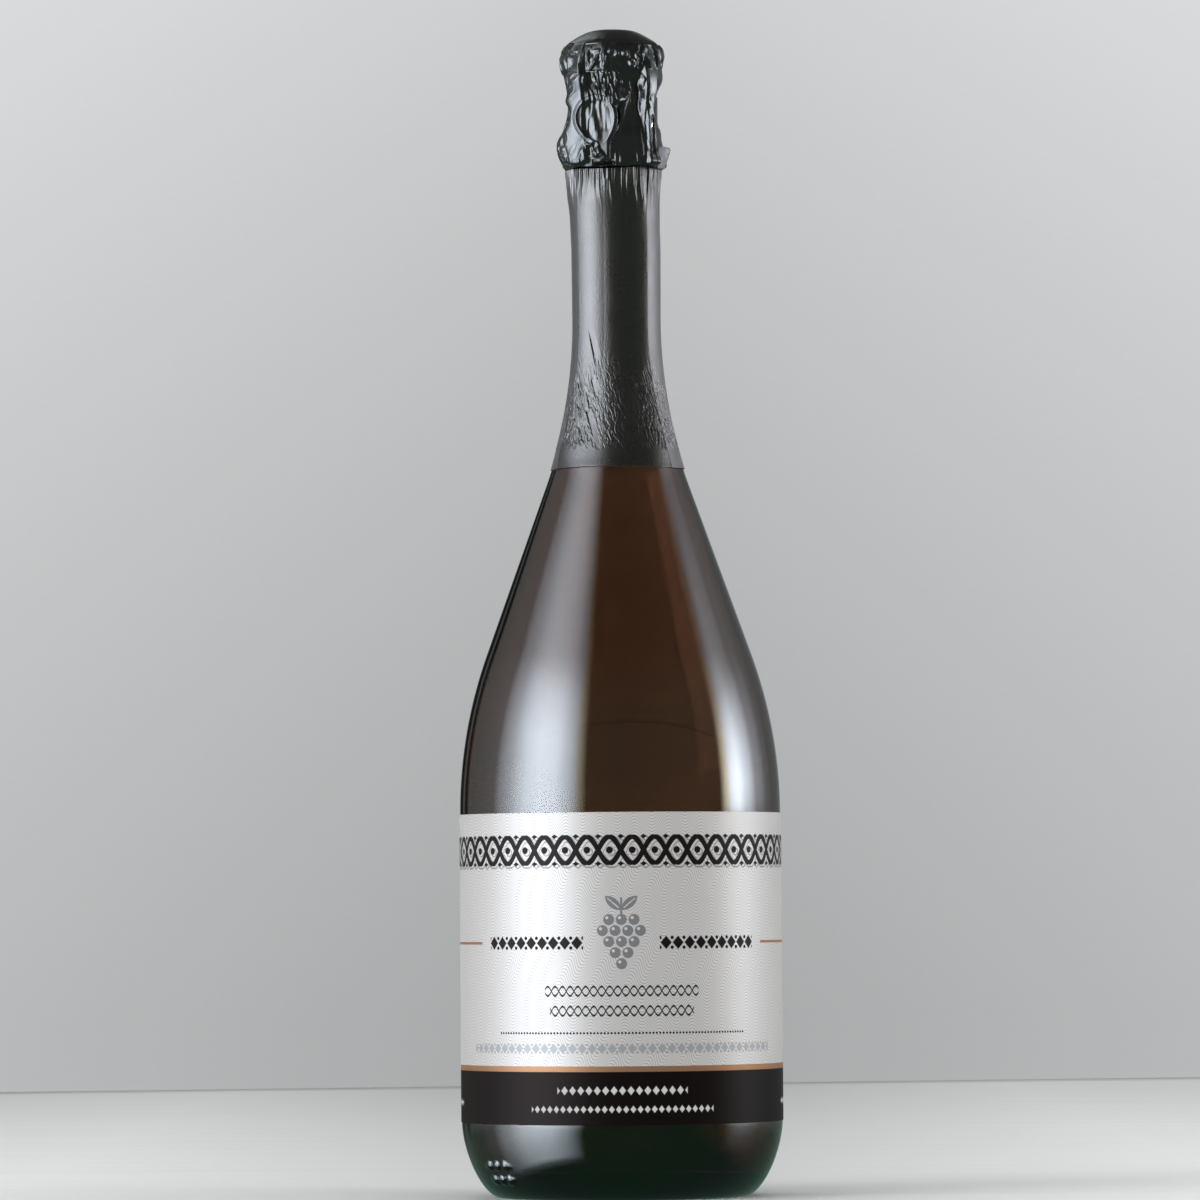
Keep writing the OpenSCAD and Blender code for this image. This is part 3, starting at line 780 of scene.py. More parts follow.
def lap_sheen_and_shade(paint):
    """How much painted sheen lies beyond each lap, and how much painted shade lies in a line along it."""
    x, y, z = paint.place()
    turn = paint.math("ARCTAN2", x, -y) * (180 / math.pi)
    low = ((lap_bend_z - z) / lap_bend_run).held()
    low = low * low * (3 - low * 2)
    painted_sheen, painted_shade = None, None
    for side, (start, spread, share) in lap_places.items():
        past = (turn - start - low * spread) * side
        # Painted sheen on the foil past the lap, and a line of painted shade along it
        side_sheen = (past * 1.5 - 0.5).held() * ((lap_end - turn * side) / 8).held() * share
        side_shade = (1.15 - abs(past + 0.3) / 1.3).held()
        painted_sheen = side_sheen if painted_sheen is None else painted_sheen + side_sheen
        painted_shade = side_shade if painted_shade is None else painted_shade + side_shade
    return painted_sheen, painted_shade


# Nicks in the neck foil: degrees from the front, height, length and slope
long_nicks = [(-33, 235, 7, 0.24), (-48, 223.4, 6, 0.38), (-47, 218.2, 3.5, 0.38), (-32, 214.9, 6, 0.42),
              (-30, 224.2, 4, 0.3), (-35, 220.4, 4.5, 0.33), (-24, 209.5, 4, 0.38), (-40, 211.5, 3.5, 0.45)]
nick_depth = 0.3
# Sizes of the small pits: how many go round, how high they are, a shift of the noise, and their depth
pit_sizes = [(230, 1.6, 11.1, 0.12), (165, 2.6, 3.9, 0.15), (320, 1.0, 7.3, 0.06)]
pit_slant = 1.35
pit_zone = 37
gather_run = 22.5
gather_z = tear_z - gather_run
# Radius of the gathered part, by height over its foot
skirt_top_points = [(0, 12.2), (2.9, 12.37), (8.8, 12.6), (11.5, 12.8), (14.4, 13.2), (17, 13.35),
                    (20.5, 13.62), (gather_run, 13.8)]
right_slack = 1.0
slack_place = 95
slack_spread = 75


def ridged(lumps, power=4):
    """Sharp ridges where smooth noise passes through zero."""
    return (1 - np.abs(lumps)) ** power


def tear_line(azimuth):
    """How far the torn edge wanders up from its lowest place."""
    return 0.32 + 0.42 * shell_lumps(azimuth, 0 * azimuth, 17, 1, 6.6)


def degrees_from(azimuth, place):
    """Degrees from a place on the girth, with their sign."""
    return (azimuth - place + 1.5 * FULL_TURN) % FULL_TURN - FULL_TURN / 2


def from_front(azimuth, place):
    """Degrees from a place that is given in degrees to the right of straight ahead."""
    return degrees_from(azimuth, facing + place)


def slackness(azimuth):
    """How much closer the foil lies at the right, where the neck sits askew under the hood."""
    return right_slack * bump(from_front(azimuth, slack_place) / slack_spread)


def skirt_gathers(azimuth, z):
    """Short folds that start at the tear line and die out down the neck, fewer left of the front."""
    rise = smooth((z - gather_z - 5) / 17)
    calm = 0.95 * bump(from_front(azimuth, -36) / 24)
    wander = shell_lumps(azimuth, z, 7, 16, 3.7) * 26
    folds = shell_lumps(azimuth + wander * (1 - rise), z, 46, 26)
    short = shell_lumps(azimuth, z, 88, 14, 23.1)
    long_folds = ridged(folds, 5) * 0.5 * mixed(rise ** 2.4, rise ** 6, calm)
    return long_folds + rise ** 2.4 * (ridged(short) * 0.2 * rise ** 3 - 0.2)


def skirt_laps(azimuth, z):
    """What the laps add: the foil swells up to each of them, and steps down beyond it."""
    zone = smooth((tear_z - 3 - z) / 10) * smooth((z - hem_z + 2) / 8)
    added = 0 * z
    for side, (proud, run) in lap_swells.items():
        past = side * from_front(azimuth, lap_place(z, side))
        swell = proud * np.clip(1 + past / run, 0, 1) ** 1.2 * smooth(0.5 - past / 1.7)
        beyond = 0.18 * smooth(past / 1.7 + 0.5) * smooth(1 - (past - 45) / 30)
        added = added + (swell + beyond) * zone
    return added


def skirt_pits(azimuth, z):
    """Small slanting pits above the hem, where the foil shrank on the shoulder."""
    low = smooth((z - hem_z - 4.5) / 2) * smooth((hem_z + pit_zone - z) / 26)
    slant = azimuth + (z - hem_z) * pit_slant
    added = 0.04 * low
    for turns, run, shift, depth in pit_sizes:
        lumps = shell_lumps(slant, z, turns, run, shift)
        added = added - low * depth * smooth((lumps - 0.24) / 0.14)
    return added


def nicked(radius, azimuth, z):
    """Cuts the longer nicks, each steep at its left side."""
    for turn, height, length, slope in long_nicks:
        aside = np.radians(from_front(azimuth, turn)) * radius + slope * (z - height)
        nick = smooth(aside / 0.35 + 0.5) * smooth(1 - aside / 2.2) * bump((z - height) * 2 / length)
        radius = radius - nick_depth * nick
    return radius


def skirt_radius(azimuth, z):
    """Outside of the neck foil: tight on the glass, gathered under the tear line."""
    glass = np.array([glass_r(h) for h in z[:, 0]])[:, None] + skin_gap + foil
    flare = spline([(gather_z + a, b) for a, b in skirt_top_points], z)
    radius = np.where(z < gather_z, glass, np.maximum(flare, glass))
    radius = radius + skirt_gathers(azimuth, z) + skirt_laps(azimuth, z) + skirt_pits(azimuth, z)
    radius = nicked(radius, azimuth, z)
    # A soft unevenness all over
    radius = radius + 0.035 * shell_lumps(azimuth, z, 12, 12, 8.2)
    radius = radius - slackness(azimuth) * smooth((z - 261) / 16)
    # The top edge tucks in under the hood
    radius = radius - 0.16 * smooth((z - tear_z + 0.9) / 0.7)
    return np.maximum(radius, glass - 0.03)


def foil_skirt():
    """The neck foil. Its hem wavers a little, and its torn top edge does too, but not under the loop."""
    azimuths = np.array(steps(-190, 10, 560)[:-1] + steps(10, 170, 150)[:-1])
    pits_top_z = hem_z + pit_zone + 1
    heights = np.array(steps(hem_z, pits_top_z, 230)[:-1] + steps(pits_top_z, tear_z, 170))
    azimuth, z = np.meshgrid(azimuths, heights)
    radius = skirt_radius(azimuth, z)
    waver = 0.1 * np.sin(np.radians(azimuth * 3 + 40)) + 0.1 * shell_lumps(azimuth, z, 30, 50)
    z = z + (waver * 0.8 + 0.13) * (1 - smooth((z - hem_z) / 3))
    under_loop = bump(from_front(azimuth, loop_azimuth + 95) / 34)
    z = z + (tear_line(azimuth) + 0.35) * (1 - under_loop) * smooth((z - tear_z + 5) / 5)
    piece = mesh_piece("neck_foil", polar(radius, azimuth, z), grid_faces(len(heights), len(azimuths), True))
    return thicken(piece, foil * sheet_share)


# Heights and radii of the hood between the legs, and over them
hood_points = [(284.8, 14.1), (286.2, 14.4), (288, 14.5), (291, 14.25), (294, 13.95), (297, 13.35),
               (300, 12.95), (303, 12.85), (306, 12.85), (308.5, 13.2), (310.8, 13.8), (314, 14.15),
               (316.5, 14.2), (318.3, 13.8), (319.2, 13.35)]
ridge_points = [(284.8, 15.1), (286.2, 16.1), (288, 16.1), (290.2, 15.7), (295, 15.5), (305, 15.55),
                (310, 15.4), (313.5, 14.8), (316.5, 14.2), (318.3, 13.8), (319.2, 13.35)]
crease_z = 311.6
hood_lean = 0.62
lean_foot = 283
lean_run = 20
fold_shift = 0.75
stem_room = 3.3
stem_dip_r = 12.75

# Long folds in front: heights, and millimetres to the right of the middle
deep_fold = [(291.5, -6.9), (296, -7.5), (302.7, -7.6), (306, -7.9), (309.8, -8.6), (311.8, -7.8),
             (317, -7.3), (321, -7.2)]
second_fold = [(290, -3.4), (296, -3.9), (300.2, -5.1), (304.4, -6.2), (308, -6.7)]
taut_fold = [(291.5, 0.7), (294.5, 1.3), (297.5, 2.3), (300.5, 2.9), (304.5, 3.9), (308, 4.2)]


def lean_at(z):
    """How far to the left the foil's head leans."""
    return hood_lean * smooth((z - lean_foot) / lean_run)


def from_leg(azimuth):
    """Degrees to the nearest leg of the cage, with its sign."""
    return (azimuth + FULL_TURN) % leg_spacing - leg_spacing / 2


def loop_egg(angle):
    """A point on the wire loop in the frame of its hinge: x along the hinge and y up."""
    x = -loop_width / 2 * np.sin(angle) * np.abs(np.sin(angle / 2)) ** 0.5 * 1.1
    y = -loop_height / 2 * np.cos(angle)
    middle_x = stem_shift - loop_height / 2 * math.sin(loop_lean)
    middle_y = stem_length + loop_height / 2 * math.cos(loop_lean)
    return np.stack([middle_x + x * math.cos(loop_lean) - y * math.sin(loop_lean),
                     middle_y + x * math.sin(loop_lean) + y * math.cos(loop_lean)], -1)


egg_points = loop_egg(np.linspace(0, math.tau, 73)[:-1])


def egg_distance(across, up):
    """Distance outside the loop's line, below zero inside it."""
    spots = np.stack([across, up], -1).reshape(-1, 1, 2)
    start, end = egg_points, np.roll(egg_points, -1, 0)
    run = end - start
    t = np.clip(((spots - start) * run).sum(-1) / (run * run).sum(-1), 0, 1)
    nearest = start + run * t[..., None]
    away = np.linalg.norm(spots - nearest, axis=-1).min(1)
    one, two = start - spots, end - spots
    turn = one[..., 0] * two[..., 1] - one[..., 1] * two[..., 0]
    angle = np.arctan2(turn, (one * two).sum(-1)).sum(1)
    inside = np.abs(angle) > math.pi
    return np.where(inside, -away, away).reshape(across.shape)


def tail_distance(across, up):
    """Distance outside the stem's tail, which runs from the belt into the loop."""
    top, foot = stem_length + loop_height / 4, cap_margin - wire_r
    dx = np.abs(across - stem_shift) - tail_half
    dy = np.abs(up - (top + foot) / 2) - (top - foot) / 2
    return np.where((dx > 0) & (dy > 0), np.hypot(dx, dy), np.maximum(dx, dy))


def keyhole_distance(across, up):
    """Distance outside loop and stem, with the corner between them filled."""
    a, b = egg_distance(across, up), tail_distance(across, up)
    share = np.clip(0.5 + (b - a) / 1.6, 0, 1)
    return mixed(b, a, share) - 0.8 * share * (1 - share)


def lapped(x, line, width, run):
    """A sheet that climbs towards a line from the left, over a run, and drops at it within a width."""
    past = x - line
    return smooth(0.5 - past / width) * bump(np.minimum(past + width / 2, 0) / run)


def fine_creases(x, z):
    """Long fine creases between the loop and the crease under the head."""
    flat = np.stack([x + 0.14 * z, z, 0 * x], -1)
    zone = smooth((z - 301.5) / 3) * smooth((crease_z + 0.4 - z) / 1.2) * smooth((x + 7.2) / 2)
    zone = zone * (0.35 + 0.65 * smooth((3.4 - x) / 3))
    grains = rumple(flat * (1 / 0.62, 1 / 1.9, 1), 1.0, 31.2)
    creases = rumple(flat * (1 / 1.2, 1 / 4, 1), 1.0, 12.2)
    return zone * (0.34 * grains + 0.4 * ridged(creases) - 0.12)


def pressed_folds(x, z):
    """The folds that run over hood and loop alike, by their place as seen from the front."""
    width = 0.9 + 0.5 * smooth((303 - z) / 4)
    first = lapped(x, spline(deep_fold, z), width, 2.4) * smooth((z - 291) / 3) * smooth((317.8 - z) / 2.2)
    ragged = 0.5 * flat_lumps(0.3 * x, 0.55 * z, 5.5)
    second = lapped(x, spline(second_fold, z) + ragged, 2.3, 2.0)
    second = second * smooth((z - 290) / 3) * smooth((308.5 - z) / 3)
    return 0.45 * first + 0.3 * second + fine_creases(x, z)


# Ridges of the gathered collar: millimetres to the right, height, half width, half length, slant, how proud
collar_ridges = [
    (-11.6, 315.6, 0.5, 1.2, 0.0, 0.3), (-10.4, 317.3, 0.7, 0.5, 0.2, 0.3), (-6.6, 315, 0.35, 2.2, 0, 0.4),
    (-5.0, 313.6, 0.35, 2.2, 0.45, 0.45), (-4.0, 317.1, 0.9, 0.45, 0.3, 0.3), (-2.1, 315, 0.5, 2.8, 0, 0.6),
    (-0.5, 317, 0.5, 0.5, 0.2, 0.4), (1.4, 316.2, 0.4, 0.8, 0, 0.45), (3.1, 316.3, 0.35, 0.8, 0.2, 0.45),
    (4.3, 316.2, 0.3, 0.9, -0.1, 0.45), (5.0, 313.3, 0.35, 1.1, 0, 0.45), (6.6, 314.8, 0.35, 3, 0.05, 0.6),
    (8.1, 316.2, 0.4, 0.9, 0.1, 0.45), (10.3, 313.4, 0.8, 1.4, 0, 0.4), (12.6, 315.2, 0.4, 1.6, 0, 0.3)]
ridge_spread = 1.35
ridge_stretch = 1.15
ridge_proudness = 1.5


def collar_strokes(x, z):
    """The strong ridges of the collar in front."""
    raised = 0 * x
    wobble = 0.5 * flat_lumps(x * 0.35, z * 0.7, 27.7)
    for place, height, half_width, half_length, slant, proud in collar_ridges:
        aside = (x - place - wobble - slant * (z - height)) / (half_width * ridge_spread)
        along = (z - height) / (half_length * ridge_stretch)
        raised = np.maximum(raised, ridge_proudness * proud * bump(aside) * bump(along))
    return raised


# The least radius that clears the head of the cork, and the twisted legs
cork_room = [(284, 12.3), (287, 13.2), (289, 12.3), (291.5, 13.1), (294.5, 12.4), (307.5, 12.15),
             (309.5, 13.15), (313.5, 13.15), (316, 12.7), (318, 12.3)]
leg_room = [(284.6, 13.6), (285.9, 15.95), (287.6, 15.9), (289, 14.95), (311.5, 14.95), (314, 14.3),
            (316, 13.9), (318, 13.3)]


def room_for_wires(azimuth, z):
    """The least radius of the foil, which leans over cork and wires that stand upright."""
    leg = np.abs(from_leg(azimuth))
    least = mixed(spline(cork_room, z), spline(leg_room, z), smooth((10.5 - leg) / 3.9))
    return least + np.maximum(lean_at(z) * np.cos(np.radians(azimuth)), 0)


# The flat cheek at the left: how far out it lies, and how far to the left it reaches
cheek_depth = [(285, 15.6), (289, 16.1), (292, 15.5), (296, 15.0), (312, 15.0)]
cheek_reach = [(285, 13.9), (287, 14.8), (289.5, 15.7), (292, 15.8), (295, 14.3), (298, 13.0), (312, 13.0)]
cheek_facing = -38


def flat_cheek(radius, azimuth, z):
    """Stretches the foil flat over the leg at the left."""
    turn = from_front(azimuth, 0)
    share = smooth((z - 285.4) / 1.5) * smooth((crease_z + 0.1 - z) / 1.4)
    share = share * smooth((turn + 104) / 14) * smooth((-25 - turn) / 9)
    facet = spline(cheek_depth, z) / np.maximum(np.cos(np.radians(turn - cheek_facing)), 0.2)
    side = spline(cheek_reach, z) / np.maximum(-np.sin(np.radians(turn)), 0.2)
    lower = np.minimum(facet, side) - 0.25 * bump((facet - side) / 1.2)
    creases = flat_lumps(turn * 0.12 - z * 0.12, z * 0.3, 15.2)
    return mixed(radius, lower + 0.12 * creases + 0.3 * (ridged(creases, 7) - 0.3) * share, share)


# Creases down the leg at the right: heights and millimetres to the right, half width, and how proud
leg_lines = [([(287, 8.4), (292, 8.0), (298, 7.6), (304, 8.0), (310.5, 8.9)], 0.7, 0.32),
             ([(286, 10.0), (292, 9.9), (299, 9.5), (305, 9.9)], 0.4, -0.5),
             ([(288, 11.6), (295, 11.2), (300, 11.2)], 0.4, -0.4),
             ([(299, 9.0), (303, 9.6), (307, 10.3), (311, 10.2)], 0.5, 0.3)]


def leg_folds(x, z):
    """Long creases down the leg at the right, in front."""
    raised = 0 * x
    for places, half_width, proud in leg_lines:
        waver = 0.22 * rumple(np.stack([x * 0, z * 0.8, x * 0 + half_width * 9], -1), 1.0, 4.4)
        ends = smooth((z - places[0][0]) / 1.5) * smooth((places[-1][0] - z) / 1.5)
        raised = raised + proud * bump((x - spline(places, z) - waver) / half_width) * ends
    return raised


def draped_legs(azimuth, z):
    """The foil over the legs and hollow between them, and how much of it lies over a leg."""
    left = bump(from_front(azimuth, -66) / 24)
    leg = from_leg(azimuth) + 2.0 * shell_lumps(azimuth, z, 9, 4)
    twisting = smooth((z - 288) / 3) * smooth((312 - z) / 3)
    leg = np.abs(leg + twisting * 3.6 * shell_lumps(azimuth, z, 3, 4.6, 6.1))
    legs = smooth((11.5 + 5 * left - leg) / 7.5)
    radius = mixed(spline(hood_points, z), spline(ridge_points, z), legs)
    knots = shell_lumps(azimuth + 2 * z, z, 34, 4.2, 41.7)
    radius = radius + smooth((8.5 - leg) / 4) * twisting * 0.42 * np.maximum(knots, -0.1)
    hollow = smooth((14 - leg) / 4) * (1 - legs) * smooth((z - 290) / 4) * smooth((311 - z) / 5)
    return radius - 0.22 * hollow, legs


def askew(azimuth, z):
    """The foil sits askew: fuller at the left, above all under the belt, and flatter at the right."""
    head = 0.3 * bump(from_front(azimuth, -66) / 24) * smooth((z - 309) / 5)
    flat = 0.75 * bump(from_front(azimuth, 92) / 40) * smooth((z - 289) / 4) * smooth((317 - z) / 4)
    bulge = 2.0 * bump(from_front(azimuth, -84) / 30) * bump((z - 291.4) / 4.4)
    uneven = 0.16 * shell_lumps(azimuth, z, 9, 9, 2.2)
    return head - flat + bulge + uneven


def over_crease(azimuth, z):
    """Height over the wavy crease under the head."""
    return z - crease_z - 0.45 * shell_lumps(azimuth, z, 10, 40, 9.9)


def puckers(azimuth, z, over):
    """Puckers round the head, from the edge of the disc down to the crease, calmer in front."""
    front = bump(from_front(azimuth, 0) / 62)
    sway = shell_lumps(azimuth, z, 14, 7, 7.7) * 9
    pleats = ridged(shell_lumps(azimuth + sway, z, 34, 9, 4.1), 4)
    crumple = shell_lumps(azimuth, z, 34, 2.4, 14.5)
    bits = shell_lumps(azimuth, z, 76, 1.4, 44.4)
    rough = (0.7 - 0.4 * front) * pleats + (0.42 - 0.2 * front) * crumple + (0.2 - 0.12 * front) * bits
    step = 0.2 * smooth(over / 0.5 + 0.5) - 0.24 * bump(over / 0.4) - 0.1
    return smooth(over / 1.6) * (rough - 0.33) + step


def foot_gathers(azimuth, z):
    """Gathers where the foil draws in at the tear line, with small pinched knots."""
    gathers = shell_lumps(azimuth, z, 50, 26, 17.3)
    pinches = shell_lumps(azimuth, z, 44, 2, 3.1)
    drawn = smooth((290.5 - z) / 5) * (0.34 * ridged(gathers, 5) - 0.12)
    return drawn + smooth((286.8 - z) / 1.6) * 0.5 * np.clip(pinches, -0.2, 1)


def front_folds(radius, azimuth, z, over):
    """The long folds and ridges in front, by their place as seen from there."""
    turn = np.radians(from_front(azimuth, 0))
    x = radius * np.sin(turn) - lean_at(z) + fold_shift
    # A soft fold that falls from the loop to the tear line at the left
    sagging = bump((x + 13.1 + 0.17 * (z - 291)) / 0.55) * bump((z - 290.5) / 5)
    taut = bump((x - spline(taut_fold, z)) / 0.75) * smooth((z - 291) / 3) * smooth((308 - z) / 4)
    folds = pressed_folds(x, z) + 0.4 * taut - 0.35 * sagging + leg_folds(x, z)
    return smooth(np.cos(turn) * 4) * (folds + smooth(over / 1.6) * collar_strokes(x, z))


def drawn_in(radius, azimuth, z, legs):
    """The foot draws in to the neck foil, less so over the legs."""
    foot_r = skirt_top_points[-1][1] + 0.3 - slackness(azimuth)
    return mixed(radius, foot_r, smooth((hood_foot_z + 1.3 - z) / 1.3) * (1 - 0.5 * legs))


def held_off(radius, azimuth, z):
    """Where it would touch cork or wires it is held off softly, so that its folds still show."""
    least = room_for_wires(azimuth, z)
    spare = radius - least
    return least + (spare + np.hypot(spare, 0.22)) / 2


def dipped_for_stem(radius, azimuth, z):
    """Under the stem of the loop it dips in, so that the stem can swing down."""
    turn = np.radians(azimuth - loop_azimuth)
    along = radius * np.sin(turn) * np.sign(np.cos(turn))
    under = smooth((stem_room - np.abs(along - stem_shift)) / 0.9)
    under = under * smooth((z - hood_foot_z - 0.1) / 0.3) * (z < belt_z + 0.2) * (np.cos(turn) > 0)
    return mixed(radius, stem_dip_r, under)


def hood_radius(azimuth, z):
    """Outside of the foil hood over legs, belt and the head of the cork, away from the loop."""
    radius, legs = draped_legs(azimuth, z)
    over = over_crease(azimuth, z)
    radius = radius + askew(azimuth, z) + puckers(azimuth, z, over) + foot_gathers(azimuth, z)
    radius = flat_cheek(radius, azimuth, z)
    radius = radius + front_folds(radius, azimuth, z, over)
    radius = drawn_in(radius, azimuth, z, legs)
    radius = held_off(radius, azimuth, z)
    return dipped_for_stem(radius, azimuth, z)


loop_turn = math.radians(loop_azimuth + 90)


def loop_relief(across, up):
    """How far out the foil over the loop lies: a fine rim over the wire, slack inside, a knot below."""
    egg, away = egg_distance(across, up), keyhole_distance(across, up)
    flat = np.stack([across, up, 0 * across], -1)
    top, leftward = smooth((up - 13) / 3.5), smooth((-across - 0.5) / 4)
    rim = (0.12 + 0.16 * leftward - 0.1 * top) * bump(egg / np.where(egg < 0, 0.4, 0.5))
    plane = loop_reach + 0.52 + 0.1 * top
    folds = rumple(flat * (0.5, 0.1, 1), 1.0, 6.4)
    fine = rumple(flat * (1.3, 0.2, 1), 1.0, 1.3)
    slack = loop_reach + 0.42 - 0.035 * (4.5 - across)
    slack = slack + 0.2 * ridged(folds) * smooth(0.6 - across / 5) + 0.1 * fine
    inside = smooth(-egg / (0.9 + 1.3 * leftward) - 0.12)
    height = mixed(plane, slack, inside) + rim
    # The wires of the stem lie under the lower part
    over_stem = smooth((2.3 - tail_distance(across, up)) / 2.3) * smooth((9.8 - up) / 3)
    height = np.maximum(height, mixed(height, loop_reach + 0.62, over_stem))
    # At the right the sheet falls away steeply from the rim
    past = np.clip(away, 0, 3)
    height = height - smooth((across - 0.4) / 1.6) * (1 - top) * 1.2 * past ** 2 / (past + 0.35)
    # Crumples pinched together where the wires meet
    aside = across + 0.6 + 0.55 * (up - 1.5)
    near_knot = smooth((2.8 - np.abs(aside)) / 1.8) * smooth((5.8 - up) / 2.2) * smooth((up - 0.1) / 1.4)
    slanted = np.stack([across + 0.6 * up, up - 0.6 * across, 0 * up], -1)
    pinched = ridged(rumple(slanted * (0.5, 0.3, 1), 1.0, 9.1), 2)
    knot = 1.1 * pinched + 0.25 * rumple(flat, 0.8, 2.7) - 0.1
    x = across * math.cos(loop_turn) + loop_reach * math.sin(loop_turn) + fold_shift
    return height + near_knot * knot + pressed_folds(x, up + belt_z) * (1 - near_knot)


def tented(radius, azimuth, z):
    """Drapes the foil from the flat loop out to the hood: far down to the left, steeply at the right."""
    off = np.radians(degrees_from(azimuth, loop_azimuth))
    near = (np.abs(off) < math.radians(50)) & (z < belt_z + 27)
    # The foil leans while the loop doesn't, so the ray starts to the left of the axis
    lean = lean_at(z[near])
    up = z[near] - belt_z
    across = (loop_reach + 0.5 + lean * math.sin(loop_turn)) * np.tan(off[near]) - lean * math.cos(loop_turn)
    away = keyhole_distance(across, up)
    leftward, downward, upward = smooth((0.4 - across) / 7), smooth((13 - up) / 8), smooth((up - 13.5) / 4)
    reach = 1.3 + leftward * (2.2 + 6.5 * downward) + upward * 5
    share = smooth(1 - (away - cap_margin) / reach)
    plane = (loop_relief(across, up) + lean * math.sin(loop_turn)) / np.cos(off[near])
    draped = radius.copy()
    draped[near] += share * np.maximum(plane - radius[near], 0)
    return draped


# Outwards at the loop, and along the belt there
loop_out = np.array([math.cos(math.radians(loop_azimuth)), math.sin(math.radians(loop_azimuth)), 0])
loop_along = np.array([-loop_out[1], loop_out[0], 0])
upwards = np.array([0, 0, 1])
slope_step = 0.02
patch_gap = 0.02


def keyhole_slope(across, up):
    """Distance outside loop and stem, and how it grows to the right and upwards."""
    here = keyhole_distance(across, up)
    by_across = (keyhole_distance(across + slope_step, up) - here) / slope_step
    by_up = (keyhole_distance(across, up + slope_step) - here) / slope_step
    return here, by_across, by_up


def window_line(points):
    """Way into the window that the loop and its foil fill, for trimming the hood."""
    across, up, ahead = points @ loop_along, points[:, 2] - belt_z, points @ loop_out
    near = (ahead > 8) & (np.abs(across) < 14) & (up < 24)
    away = np.full(len(points), -99.0)
    direction = np.zeros((len(points), 3))
    here, by_across, by_up = keyhole_slope(across[near], up[near])
    away[near] = cap_margin - here
    direction[near] = -by_across[:, None] * loop_along - by_up[:, None] * upwards
    return away, direction


def patch_line(points):
    """Way out over the edge of the loop's own foil, which lies flat here."""
    here, by_across, by_up = keyhole_slope(points[:, 0], points[:, 1])
    return here - cap_margin + patch_gap, np.stack([by_across, by_up, 0 * here], -1)


def lean_over(points):
    """The head of the foil leans a little to the left."""
    return points - lean_at(points[..., 2:]) * np.array([1, 0, 0])


def curled_edge(azimuths, radius, foot):
    """The top edge turns in over the disc in small ragged curls."""
    curls = []
    ragged = shell_lumps(azimuths, azimuths * 0, 26, 3, 2.9)
    for t in steps(0, 1, 10)[1:]:
        curl = shell_lumps(azimuths, np.full_like(azimuths, 3.0 * t), 38, 3, 12.8)
        r = radius - (1.5 + 0.9 * ragged) * t
        top = foot + 0.62 * math.sin(t * 2.4) + 0.3 * t + 0.42 * curl * math.sin(t * math.pi)
        curls.append(polar(r, azimuths, top))
    return np.array(curls)


def foil_hood():
    """The hood, torn off at its foot, with a window in which the loop's own foil lies."""
    azimuths = np.array(steps(-190, 10, 520)[:-1] + steps(10, 170, 180)[:-1])
    heights = np.array(steps(hood_foot_z, hood_rim_z + 0.2, 230))
    azimuth, z = np.meshgrid(azimuths, heights)
    radius = tented(hood_radius(azimuth, z), azimuth, z)
    body = polar(radius, azimuth, z + tear_line(azimuth) * (1 - smooth((z - hood_foot_z) / 1.6)))
    points = lean_over(np.concatenate([body, curled_edge(azimuths, radius[-1], heights[-1])]))
    faces = grid_faces(len(points), len(azimuths), True)
    piece = mesh_piece("foil_cap", *used_only(*trim_to(window_line, points.reshape(-1, 3), faces, 0.11)))
    return thicken(piece, foil * sheet_share)


def foil_loop_patch():
    """The foil pressed over the loop. It meets the hood edge to edge and swings with the loop."""
    x, y = np.meshgrid(np.arange(-10.2, 6.4, 0.13), np.arange(-1.0, 20.2, 0.13))
    flat = np.stack([x, y, 0 * x], -1).reshape(-1, 3)
    moved, kept = trim_to(patch_line, flat, grid_faces(*x.shape, False), 0.08)
    height = loop_relief(moved[:, 0], moved[:, 1])
    lifted = moved[:, :1] * loop_along + height[:, None] * loop_out + (moved[:, 1:2] + belt_z) * upwards
    piece = mesh_piece("loop_foil", *used_only(lifted, kept))
    return thicken(piece, foil * pressed_share)


# The dome's height by its radius, both as shares
dome_shares = [(0, 1), (0.3, 0.97), (0.54, 0.86), (0.7, 0.65), (0.84, 0.42), (0.945, 0.2), (1, 0)]


def foil_top_disc():
    """The smooth domed disc, dented a little, with its edge under the curls."""
    radii = np.array(steps(0.002, 1, 46))
    azimuths = np.array(steps(0, FULL_TURN, 220)[:-1])
    azimuth, share = np.meshgrid(azimuths, radii)
    z = disc_foot_z + (disc_top_z - disc_foot_z) * np.clip(spline(dome_shares, share), 0, 1)
    dents = rumple(round_places(azimuth, 0 * z, 1, 1) * share[..., None] * 14, 1.0, 3.3)
    ripple = shell_lumps(azimuth, z, 40, 4, 5.9)
    z = z + 0.12 * dents * smooth(share * 3) * smooth((1.02 - share) * 6)
    z = z + 0.09 * ripple * smooth((share - 0.72) / 0.2)
    points = lean_over(polar(share * (disc_r - 0.05), azimuth, np.minimum(z, disc_top_z)))
    middle = len(radii) * len(azimuths)
    faces = grid_faces(len(radii), len(azimuths), True)
    faces += [(middle, (c + 1) % len(azimuths), c) for c in range(len(azimuths))]
    piece = mesh_piece("foil_disc", np.concatenate([points.reshape(-1, 3), [points[0].mean(0)]]), faces)
    return thicken(piece, foil * sheet_share)


tab_azimuth = -27
tab_lean = math.radians(12)
tab_width = 7.4
tab_height = 6.2
tab_root_r = 14.0
# Edges of the tab: height and place across, as shares of its height and width
tab_left_shares = [(0, -0.27), (0.5, -0.42), (0.9, -0.48), (1, -0.36)]
tab_right_shares = [(0, 0.27), (0.5, 0.42), (0.88, 0.5), (1, 0.42)]


